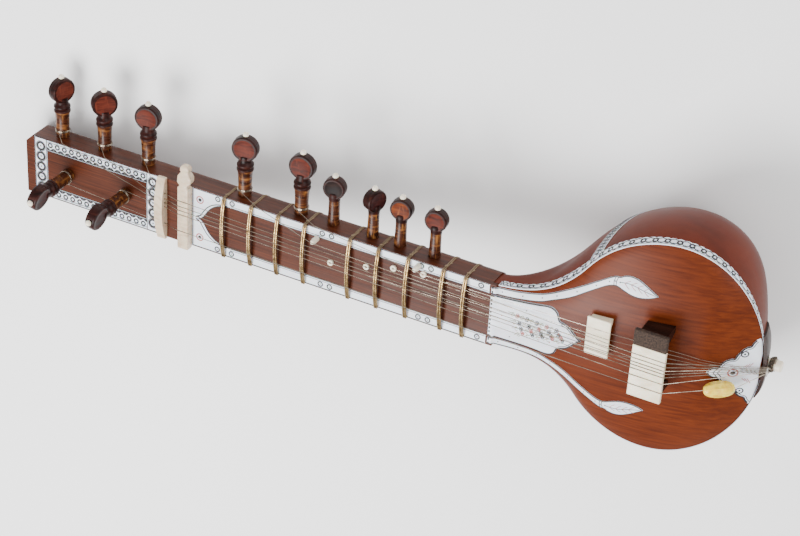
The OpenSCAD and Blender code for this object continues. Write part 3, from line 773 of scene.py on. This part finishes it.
# Pairs of radius and height of a stem outside the neck.
LARGE_STEM = [(6.6, 0.35), (6.5, 5), (6.5, 12), (6.8, 20), (7.2, 25.5), (7.9, 27.2), (8.3, 28.4),
              (8.3, 29.6), (7.7, 30.6), (7.1, 31.1), (7.6, 31.7), (8.2, 32.6), (8.35, 33.8),
              (8, 35), (7, 36), (6.4, 37.4), (6.3, 40), (6.2, 43)]
SMALL_STEM = [(5.9, 0.35), (5.75, 6), (5.5, 14), (5.35, 22), (5.5, 26), (6, 29), (6.3, 31.5),
              (5.9, 33), (5.5, 34)]
# A peg's stem, where it turns dark, its disc's radius, and the height of the disc's centre.
LARGE, SMALL = (LARGE_STEM, 6, 13, 51), (SMALL_STEM, 4, 11, 39)
HEAD_SLOT, RING_SLOT, STEM_SLOT = 0, 1, 2
# The disc's dished face and its rim, as pairs of a share of its radius and half its thickness.
FACE = [(0.25, 4.35), (0.5, 4.6), (0.7, 5), (0.79, 5.3), (0.86, 5.35), (0.93, 5.1), (0.98, 4.2),
        (1, 2.8), (0.985, 1.8), (1, 0.9)]
# The bone bead on top, as pairs of radius and height over its foot.
DROP = [(0.02, 0), (1.9, 0.05), (2.3, 0.6), (2.9, 1.4), (3, 2.2), (2.7, 3.2), (2, 4.2), (1.1, 4.8),
        (0.02, 5)]


def front_place(x, turn=0):
    """Puts a peg's own x, y and z (out of the wood) on the head's face, turned by degrees."""
    c, s = cos(radians(turn)), sin(radians(turn))
    return lambda p: (x + p[0] * c - p[1] * s, p[0] * s + p[1] * c, p[2])


def side_place(x, turn=0):
    """The same, on the side of the neck."""
    front = front_place(x, turn)
    return lambda p: (front(p)[0], HALF_W + p[2], -PEG_Z - front(p)[1])


def turn_stem(peg, place, stem, dark, tip):
    """The stem, dark from its rings up, and its shank in the neck."""
    shank = [(3.3, -tip), (3.4, 1 - tip), (3.45, 5 - tip), (4.9, 8 - tip), (4.95, -0.5), (5.2, 0.3)]
    brown = len(shank) + dark
    slots = [STEM_SLOT] * brown + [RING_SLOT] * (len(stem) - 1 - dark)
    peg.lathe(shank + stem, place, 40, slots)


def turn_disc(peg, head_place, radius, height):
    """The dished disc on top, which stands on its edge."""
    half = [(0.02, 4.3)] + [(radius * share, thick) for share, thick in FACE]
    disc = half + [(r, -thick) for r, thick in reversed(half)]
    slots = [HEAD_SLOT] * 4 + [RING_SLOT] * (len(disc) - 9) + [HEAD_SLOT] * 4
    peg.lathe(disc, lambda p: head_place((p[0], p[2], height + p[1])), 56, slots)


def make_peg(number, put, x, turn, kind, tip, look):
    """One peg: put sets it on its side of the neck, and turn is its disc's angle."""
    stem, dark, radius, height = kind
    peg, bead, body = Shape(), Shape(), f"peg_body_{number}"
    turn_stem(peg, put(x), stem, dark, tip)
    turn_disc(peg, put(x, turn), radius, height)
    peg.make(f"peg_turned_{number}", [look, PEG_RING, PEG_STEM], f"peg_{number}", body=body)
    base = height + radius - 0.7
    bead.lathe([(r, base + h) for r, h in DROP], put(x, turn), 24)
    bead.make(f"peg_drop_{number}", BONE, f"peg_bead_{number}", body=body)


SIDE_TURN, FRONT_TURN = (70, 45, 8, 12, 5, 10, 68, 8, 6), (75, 78)
SIDE_LOOK = ("brown", "brown", "brown", "brown", "brown", "black", "maroon", "orange", "brown")
SIDE_TIP, FRONT_TIP = NECK_W - 8 + 4.8, NECK_DEPTH - 8 + 4.8
for peg_i, peg_x in enumerate(LARGE_PEG_X + SMALL_PEG_X):
    make_peg(peg_i + 1, side_place, peg_x, SIDE_TURN[peg_i],
             LARGE if peg_x in LARGE_PEG_X else SMALL, SIDE_TIP, PEG_LOOKS[SIDE_LOOK[peg_i]])
for peg_i, peg_x in enumerate(FRONT_PEG_X):
    make_peg(len(SIDE_TURN) + peg_i + 1, front_place, peg_x, FRONT_TURN[peg_i], LARGE, FRONT_TIP,
             PEG_LOOKS["maroon"])


# --- Bone fittings, bridges, tail ---

# The nut's sections from end to end: place across, half length, low and high.
NUT_HALF = (NUT_X[1] - NUT_X[0]) / 2
NUT_SECTIONS = [
    (-35, NUT_HALF - 0.8, 0.6, NUT_H - 0.8), (-34.6, NUT_HALF - 0.2, 0.2, NUT_H - 0.2),
    (-34, NUT_HALF, 0, NUT_H), (32, NUT_HALF, 0, NUT_H), (33, NUT_HALF, 0.4, NUT_H),
    (34.5, 4.6, 1.2, 8.4), (36, 4.4, 1.4, 8.2), (37.5, 5.6, 1, 8.8), (39.5, 7.2, 1, 9),
    (42, 7.6, 1, 9), (46, 7.4, 1, 9), (49, 5.4, 1.2, 8.8), (50.3, 4.2, 1.6, 8.4),
    (51.2, 4.2, 1.6, 8.4), (52.5, 5, 1.2, 8.8), (55, 4.8, 1.2, 8.8), (57, 3.9, 1.6, 8.4),
    (58, 2.6, 2.4, 7.4)]
STRING_Y, SMALL_STRING_Y = (15.5, 11, 7, 3.7, 0, -7.2, -17.2), (0, 7.5, 15, 22)
BLOCK_HALF, BLOCK_T, BLOCK_TOP, BLOCK_LOW = 33, 4.3, -51.5, -82


def span(middle, size):
    return middle - size / 2, middle + size / 2


def rounded(half_a, half_b, r):
    """Corners of a rounded rectangle about the origin."""
    turns = ((1, 1, 0), (-1, 1, 90), (-1, -1, 180), (1, -1, 270))
    return [(sa * (half_a - r) + r * cos(radians(start + a)),
             sb * (half_b - r) + r * sin(radians(start + a)))
            for sa, sb, start in turns for a in spread(5, 0, 90)]


def make_nut():
    """The nut, with a carved finial out over the peg side."""
    rings = []
    for y, wide, low, high in NUT_SECTIONS:
        middle = sum(NUT_X) / 2 + 1.6 * ease((y - 36) / 8)
        rings.append([(middle + a, y, (low + high) / 2 + b)
                      for a, b in rounded(wide, (high - low) / 2, min(1.2, wide * 0.4))])
    make_solid(rings, "nut_carved", OLD_BONE, "main_nut")


def make_plate(name, look, node, x, y, z, size):
    """A rounded plate between two places across and two heights."""
    stations = [(y[0], 0.7), (y[0] + 0.25, 0.25), (y[0] + 0.8, 0)]
    stations += [(at, 0) for at in spread(12, y[0] + 2, y[1] - 2)]
    stations += [(y[1] - 0.8, 0), (y[1] - 0.25, 0.25), (y[1], 0.7)]
    rings = [[(x + a, at, (z[0] + z[1]) / 2 + b)
              for a, b in rounded(size / 2 - shrink, (z[1] - z[0]) / 2 - shrink * 0.6, 0.9)]
             for at, shrink in stations]
    make_solid(rings, name, look, node)


def make_stand(name, look, node, at, size, top, beam, foot):
    """A low table on two feet that are cut to the crown of the soundboard."""
    low_y, high_y = span(at[1], size[1])
    xs = spread(7, *span(at[0], size[0]))
    rings = []
    for y in spread(41, low_y, high_y):
        edge = min(y - low_y, high_y - y)
        raised = ease((edge - foot * 0.7) / (foot * 1.1))
        floors = [face_z(x, y) + 0.03 for x in xs]
        arch = top - beam - 1.2 * (1 - raised)
        pull = 0.5 * (1 - ease(edge / 1.2))
        rings.append([(x, y, mix(z, max(arch, z), raised)) for x, z in zip(xs, floors)]
                     + [(x, y, top - pull) for x in reversed(xs)])
    make_solid(rings, name, look, node)


def worn_line_and_shadow(shape, middle, length, y, top):
    """A dark line beside a string on a bridge: partly a groove worn by the string, partly painted shadow
    of the string.
    """
    shape.surface = lambda x, v, h: (x, v, top + h * 0.3)
    xs = spread(14, *span(middle, length - 2))
    shape.ribbon([(x, y - 0.55 + 0.06 * sin(x)) for x in xs], 0.3)


def make_main_bridge():
    x, length = BRIDGE_AT[0], BRIDGE_SIZE[0]
    low, high = span(BRIDGE_AT[1], BRIDGE_SIZE[1])
    z = (BRIDGE_TOP - PLATE_T, BRIDGE_TOP)
    make_plate("bridge_bone", IVORY, "main_bridge_plate", x, (low, high - CAP_LEN), z, length)
    make_plate("bridge_cap", DARK_CAP_AND_SHADE, "main_bridge_cap", x, (high - CAP_LEN, high), z, length)
    make_stand("bridge_table", DARK_WOOD, "main_bridge_base", BRIDGE_AT, (25, 64), z[0], 4, 8)


def make_small_bridge():
    make_plate("small_bone", IVORY, "small_bridge_plate", SMALL_AT[0],
               span(SMALL_AT[1], SMALL_SIZE[1]), (-SMALL_T, 0), SMALL_SIZE[0])
    make_stand("small_table", IVORY, "small_bridge_base", SMALL_AT, (19, 36), -SMALL_T, 1.5, 6)


# Dark lines beside the strings on both bridges: partly worn grooves, partly painted shadow of the
# strings.
def make_worn_lines_and_shadows():
    worn_lines_and_shadows = Shape()
    for y in STRING_Y:
        worn_line_and_shadow(worn_lines_and_shadows, BRIDGE_AT[0], BRIDGE_SIZE[0], y, BRIDGE_TOP)
    for y in SMALL_STRING_Y:
        worn_line_and_shadow(worn_lines_and_shadows, SMALL_AT[0], SMALL_SIZE[0], y, 0)
    worn_lines_and_shadows.make("bridge_worn_lines_and_shadows", DARK_CAP_AND_SHADE)


def gourd_tail_x(y, z):
    """Where the gourd's tail is, at a place across and a height."""
    x = GOURD_X + GOURD_REAR * sqrt(max(0, 1 - (y * y + (z + GOURD_DROP) ** 2) / GOURD_R**2))
    return min(x, BODY_END) - lean(min(x, BODY_END)) * (rim_z(x) - BOARD_T - z)


def make_tail_block():
    """Dark wood bent to the gourd's tail, thinner at its ends."""
    rings = []
    for y in spread(41, -BLOCK_HALF, BLOCK_HALF):
        shrink = 1 - 0.5 * (abs(y) / BLOCK_HALF) ** 4
        heights = spread(8, BLOCK_TOP - 0.0016 * y * y, BLOCK_LOW + 6 * (1 - shrink))
        outer = [(gourd_tail_x(y, z) + BLOCK_T * shrink - 0.8 * (k in (0, 7)), y, z)
                 for k, z in enumerate(heights)]
        inner = [(gourd_tail_x(y, z) + 0.1, y, z) for z in heights]
        rings.append(outer + inner[::-1])
    make_solid(rings, "tail_block_bent", DARK_WOOD, "tail_block")


def bead_look():
    look = Look("bead_amber", rough=0.28, coat=0.3, glow=0.2)
    tint = look.ramp(look.noise((7, 5, 7), 4, 0.6),
                     [(0.3, (204, 158, 30)), (0.55, (236, 206, 76)), (0.8, (246, 226, 118))])
    look.bump(look.noise((3, 3, 3), 2), 0.25, 0.4)
    return look.paint(tint)


def make_bead():
    """The yellow bead on the outer string, with ten long facets."""
    look = bead_look()
    start = Vector((BRIDGE_AT[0] + BRIDGE_SIZE[0] / 2, STRING_Y[-1], BRIDGE_TOP + 0.32))
    way = (BEAD_AT - start).normalized()
    side = way.orthogonal().normalized()
    other = way.cross(side)
    bead = Shape()
    profile = [(BEAD_R * max(0.05, cos(radians(a))) ** 0.72, BEAD_HALF * sin(radians(a)))
               for a in (-88, -78, -66, -50, -34, -17, 0, 17, 34, 50, 66, 78, 88)]
    bead.lathe(profile, lambda p: BEAD_AT + side * p[0] + other * p[1] + way * p[2], 10)
    bead.make("bead_facets", look, "tuning_bead", body="bead_body", sharp=24)


def make_windings():
    """Dark wire round the foot of the tail pin, with stray loops."""
    wire = Shape()

    def at_pin(out, r, a):
        return (BODY_END + out, (PIN_R + r) * cos(a), -GOURD_DROP + (PIN_R + r) * sin(a))

    for k, r in enumerate((1.5, 1.9, 1.6)):
        wire.tube([at_pin(5.3 + 1.1 * k + 0.15 * a, r, a) for a in spread(40, k, k + 2 * pi)], 0.55, 8)
    for start in (0.6, 2.7, 4.8):
        bend = [at_pin(6 + n * 0.7, 2 + 0.5 * sin(n), start + 0.3 * n) for n in range(6)]
        wire.tube(smooth_line(bend, 3), 0.4, 6)
    wire.make("pin_winding", WINDING)


make_windings()
make_nut()
make_main_bridge()
make_worn_lines_and_shadows()
make_small_bridge()
make_tail_block()
make_bead()


# --- Drawn marks of the inlays ---

def on_face(lift=0):
    """The surface of the face, or of an inlay on it."""
    return lambda x, y, h: (x, y, face_z(x, y) + lift + h)


def mirrored(line, side):
    return [(p[0], side * p[1]) for p in line]


NECK_FACE, BOARD_INLAY = on_face(), on_face(INLAY_T)
HEAD_ROW, HEAD_PITCH, NECK_ROW, PANEL_X = 27, 8.4, 28.2, 228
RING_X = (FRET_X[0] - 8, FRET_X[0] + 8, FRET_X[3] + 18, FRET_X[3] + 28, FRET_X[6] + 13,
          FRET_X[6] + 23, FRET_X[8] + 15)


def head_strip(marks, side):
    """A row of rings along the head, between scallops and a wavy line."""
    steps = [(8.2 * (t - 0.5), abs(cos(pi * t))) for t in spread(9, 0, 1)]
    for k in range(14):
        centre = 19 + k * HEAD_PITCH
        marks.ring((centre, side * HEAD_ROW), 2.2, 1.6, 18)
        scallop = [(centre + step, side * (21.8 + 2.6 * bow)) for step, bow in steps]
        marks.panel([(x, side * 20.9) for x, _ in scallop], scallop)
        marks.ribbon([(centre + step, side * (30.8 - 0.9 * bow)) for step, bow in steps], 0.6)
    marks.ribbon([(1, side * 32.1), (GUIDE_X[0] - 1, side * 32.1)], 0.7)
    marks.ribbon([(14, side * 20.2), (GUIDE_X[0] - 14, side * 20.2)], 0.6)


def make_head_marks():
    """The drawing on the head's inlay."""
    marks = Shape(NECK_FACE)
    for x in (7.5, GUIDE_X[0] - 7.5):
        for y in (-23.2, -11.6, 0, 11.6, 23.2):
            marks.ring((x, y), 4, 2.2, 24)
            marks.ring((x, y), 5.6, 0.5, 24)
            marks.dot((x, y), 0.8)
    for side in (-1, 1):
        head_strip(marks, side)
    for x in (0.6, 14.3, GUIDE_X[0] - 14.3, GUIDE_X[0] - 0.6):
        marks.ribbon([(x, -32), (x, 32)], 0.8)
    marks.make("head_marks", INK)


def make_neck_marks():
    """The drawing on the edge strips and the panel at the nut."""
    marks, red = Shape(NECK_FACE), Shape(NECK_FACE)
    ogee = bezier((191.6, 0), (202.6, 1), (198.6, 22), (227.6, 22.9), 24)
    for side in (-1, 1):
        for y, width in ((22.9, 0.9), (24.6, 0.5), (32, 0.8)):
            marks.ribbon([(x, side * y) for x in spread(30, PANEL_X, JOINT_X - 2)], width)
        for x in RING_X:
            marks.ring((x, side * NECK_ROW), 2.4, 1.3, 18)
            marks.dot((x, side * NECK_ROW), 0.6, 8)
        marks.ribbon([(p[0] - 3.4, side * (p[1] + 0.6)) for p in ogee[1:]], 1)
        marks.ribbon(mirrored(((188.6, 0.5), (190, 2.2), (193, 3.4), (196, 3.6)), side), 0.7)
        marks.ribbon([(NUT_X[1] + 1, side * 32), (PANEL_X - 0.3, side * 32)], 0.8)
        marks.dot((193.5, side * 21), 1.9)
        red.ring((193.5, side * 21), 3.6, 1.1)
    marks.ribbon(mirrored(ogee[:0:-1], -1) + mirrored(ogee, 1), 1)
    marks.ribbon([(NUT_X[1] + 0.8, -32), (NUT_X[1] + 0.8, 32)], 0.6)
    marks.make("neck_marks", INK)
    red.make("neck_red_marks", RED_INK)


def flower(ink, leaf, base, angle):
    """A small spray: a bent stem, three open petals and two leaves."""
    size, c, s = 1.05, cos(radians(angle)), sin(radians(angle))

    def put(a, b):
        return (base[0] + size * (a * c - b * s), base[1] + size * (a * s + b * c))

    leaf.ribbon([put(a, 0.8 * sin(a / 4)) for a in spread(9, 0, 7)], 0.45)
    for way in (-1, 1):
        leaf.ribbon([put(3 + 2.4 * t, way * (0.5 + 1.6 * sin(2.6 * t))) for t in spread(7, 0, 1)], 0.4)
    for turn in (-60, 0, 60):
        x, y = 8.2 + 1.2 * cos(radians(turn)), 0.9 + 1.2 * sin(radians(turn))
        ink.ribbon([put(x + 1.35 * cos(a), y + 1.05 * sin(a)) for a in circle(10)], 0.6, True)


# Half outlines of the inlays, from the neck's end towards the tail.
APRON_EDGE = smooth_line([
    (505.8, 22.4), (512, 22.5), (525, 23), (540, 23.8), (552, 25), (560, 26), (566, 25.2),
    (570.5, 21.8), (572.5, 17.4), (574, 15), (577.5, 13.8), (583, 11.4), (588, 6.6), (592, 2.4),
    (595, 0.15)], 4)
ARM_OUTER = smooth_line([
    (505.8, 30.6), (512, 30.7), (530, 31.1), (549, 33.8), (562, 38.4), (580, 48.4), (598, 60.2),
    (611, 68.6), (617, 71.6), (621, 71.8), (625, 74), (631, 75), (638, 73.6), (646, 69.4),
    (652, 65.4), (657, 62.4)], 4)
ARM_INNER = smooth_line([
    (505.8, 23.7), (512, 23.8), (530, 24.4), (550, 27), (562, 31.4), (579, 39.4), (596, 51.2),
    (609, 59.8), (615, 62.4), (620, 62.8), (627, 60), (634, 57.6), (641, 56.8), (648, 57.8),
    (653, 59.4), (657, 61.4)], 4)
STAR_EDGE = smooth_line([
    (708.6, 0.15), (711, 3.6), (714, 5.4), (717.4, 5.8), (718.6, 8.4), (721.5, 12.4),
    (725.5, 14.6), (729, 15), (730.2, 18), (733, 23), (736.6, 26.8), (740, 28.2), (741, 31),
    (743.4, 34.6), (746, 36)], 4)
STAR_Y, STAR_HALF, STAR_REAR, INLAY_SINK = -4, 36, (747.5, 748.8, 749.6), -0.3


def inset(line, step):
    """The line moved sideways, to the left of its way."""
    ways = [way_at(line, i) for i in range(len(line))]
    return [p + step * Vector((-way[1], way[0])) for p, way in zip(line, ways)]


def star_edge(side):
    """One edge of the tail star, kept inside the soundboard's rim."""
    edge = mirrored(STAR_EDGE, side) + [(x, side * STAR_HALF) for x in STAR_REAR]
    return [(x, max(0.5 - rim_y(x), min(rim_y(x) - 0.5, STAR_Y + y))) for x, y in edge]


def make_inlays():
    """The plate, arms and tail star on the soundboard."""
    apron, arms, star = (Shape(NECK_FACE) for _ in range(3))
    apron.panel(mirrored(APRON_EDGE, -1), APRON_EDGE, 14, INLAY_T, INLAY_SINK)
    for side in (-1, 1):
        arms.panel(mirrored(ARM_INNER, side), mirrored(ARM_OUTER, side), 6, INLAY_T, INLAY_SINK)
    star.panel(star_edge(-1), star_edge(1), 16, INLAY_T, INLAY_SINK)
    apron.make("apron_plate", CELLULOID, "apron_inlay")
    arms.make("leaf_arm_plates", CELLULOID, "leaf_arms")
    star.make("tail_star", CELLULOID, "tail_inlay")


def leaf_marks(ink, red, side):
    """The collar, midrib and veins of the leaf at the end of an arm."""
    for x in (616, 618.2):
        ink.ribbon([(x + 0.5, side * 63.4), (x, side * 67), (x + 1, side * 70.8)], 0.6)
    rib = smooth_line([(621, side * 67.4), (632, side * 67.8), (644, side * 64.6), (655, side * 62)], 4)
    ink.ribbon(rib, 0.5)
    for x, y in ((626, 67.6), (632, 67.4), (638, 66.4), (644, 64.8)):
        for first, last in ((2.2, 3), (-3.2, -4.6)):
            red.ribbon(mirrored(((x, y), (x + 3, y + first), (x + 5, y + last)), side), 0.4)


def edge_marks(ink, side):
    """Lines along the plate's and an arm's edges, and a row of dots."""
    for line, width in ((inset(APRON_EDGE, -0.75), 1.4), (inset(APRON_EDGE, -2.6)[38:-6], 0.7),
                        (inset(ARM_OUTER, -0.4), 0.7), (inset(ARM_INNER, 0.4), 0.7)):
        ink.ribbon(mirrored(line, side), width)
    for i in range(5, 38, 4):
        middle = (ARM_OUTER[i] + ARM_INNER[i]) / 2
        ink.dot((middle[0], side * middle[1]), 0.6, 10)


def make_apron_marks():
    """The drawing on the plate and arms."""
    ink, red, green = (Shape(BOARD_INLAY) for _ in range(3))
    for side in (-1, 1):
        edge_marks(ink, side)
        leaf_marks(ink, red, side)
    for row, (y, angle) in enumerate(((10, -16), (2, -10), (-6, 6), (-13, 22))):
        for k in range(5):
            base = (524 + 9.6 * k + 2.4 * row, y * (1 - 0.09 * k))
            flower(ink if (row + k) % 3 else red, green, base, angle)
    for x, y in ((518, 4), (530, -4), (541, 16), (545, -2), (556, -8), (566, -10), (574, 2),
                 (527, -17)):
        (ink if x % 2 else red).dot((x, y), 0.6, 8)
    for y in spread(15, -30, 30):
        ink.ribbon([(507, y - 1.1), (507, y + 1.1)], 1.5)
    ink.make("apron_ink", INK)
    red.make("apron_red", RED_INK)
    green.make("apron_green", GREEN_INK)


def make_tail_marks():
    """The drawing on the tail star."""
    ink, red = Shape(BOARD_INLAY), Shape(BOARD_INLAY)
    for side in (-1, 1):
        for step, width, skip in ((-0.7, 1.3, 1), (-2.5, 0.6, 14)):
            line = inset(STAR_EDGE, step)[skip:-4]
            ink.ribbon([(p[0], STAR_Y + side * p[1]) for p in line], width)
        ink.ring((736.5, STAR_Y + side * 20), 2.8, 1)
        ink.dot((736.5, STAR_Y + side * 20), 0.9)
        for x in (714, 717.5):
            ink.ribbon([(x, STAR_Y), (x + 3.4, STAR_Y + side * 4.4)], 0.7)
        for k in range(3):
            red.ribbon([(737 + 2 * k, STAR_Y + side * 6), (740 + 2 * k, STAR_Y + side * (9 + k))], 0.5)
    ink.dot((729.5, STAR_Y), 2)
    red.ring((729.5, STAR_Y), 3.9, 1.1)
    ink.make("tail_ink", INK)
    red.make("tail_red", RED_INK)


make_inlays()
make_head_marks()
make_neck_marks()
make_apron_marks()
make_tail_marks()


# --- Floor, light and camera ---

FLOOR_HALF, FLOOR_Z, WORLD_LIGHT = 4, -0.5 * MM, 0.86
KEY_AT, FILL_AT, LIT_AT = (-0.6, -0.46, 1.45), (1.5, 0.9, 1.5), (0.1, 0, 0.05)
CAMERA_AT, CAMERA_RIGHT = (1184.4, 1132.1, 1583.5), (0.8823, 0.0529, -0.4677)
CAMERA_AHEAD, LENS = (-0.3707, -0.5343, -0.7597), 101.2


def make_floor():
    mesh = bpy.data.meshes.new("floor")
    corners = [(a * FLOOR_HALF, b * FLOOR_HALF, FLOOR_Z) for a, b in ((-1, -1), (1, -1), (1, 1), (-1, 1))]
    mesh.from_pydata(corners, [], [(0, 1, 2, 3)])
    look = Look("floor_paper", rough=0.9)
    cloud = look.between(look.noise((300, 300, 300), 2), 0, 1)
    mesh.materials.append(look.paint(look.mixed(cloud, (250, 250, 250), (253, 253, 253))))
    floor = placed("floor", mesh)


def make_world():
    world = bpy.data.worlds.new("studio")
    world.use_nodes = True
    background = world.node_tree.nodes["Background"]
    background.inputs["Color"].default_value = (1, 1, 1, 1)
    background.inputs["Strength"].default_value = WORLD_LIGHT
    bpy.context.scene.world = world


def make_light(name, at, size, power):
    """A soft square lamp that faces the instrument."""
    data = bpy.data.lights.new(name, "AREA")
    data.size = size
    data.energy = power
    lamp = placed(name, data)
    lamp.location = at
    lamp.rotation_euler = (Vector(LIT_AT) - Vector(at)).to_track_quat("-Z", "Y").to_euler()


def make_camera():
    """The photograph's view; its place and directions are in the level frame."""
    data = bpy.data.cameras.new("camera")
    data.sensor_width = 36
    data.lens = LENS
    data.clip_end = 50
    right = turned(CAMERA_RIGHT).normalized()
    ahead = turned(CAMERA_AHEAD).normalized()
    up = right.cross(ahead).normalized()
    right = ahead.cross(up)
    matrix = Matrix((right, up, -ahead)).transposed().to_4x4()
    matrix.translation = lay(CAMERA_AT)
    camera = placed("camera", data)
    camera.matrix_world = matrix
    bpy.context.scene.camera = camera


make_floor()
make_world()
make_light("key", KEY_AT, 1, 54)
make_light("fill", FILL_AT, 1.6, 34)
make_camera()
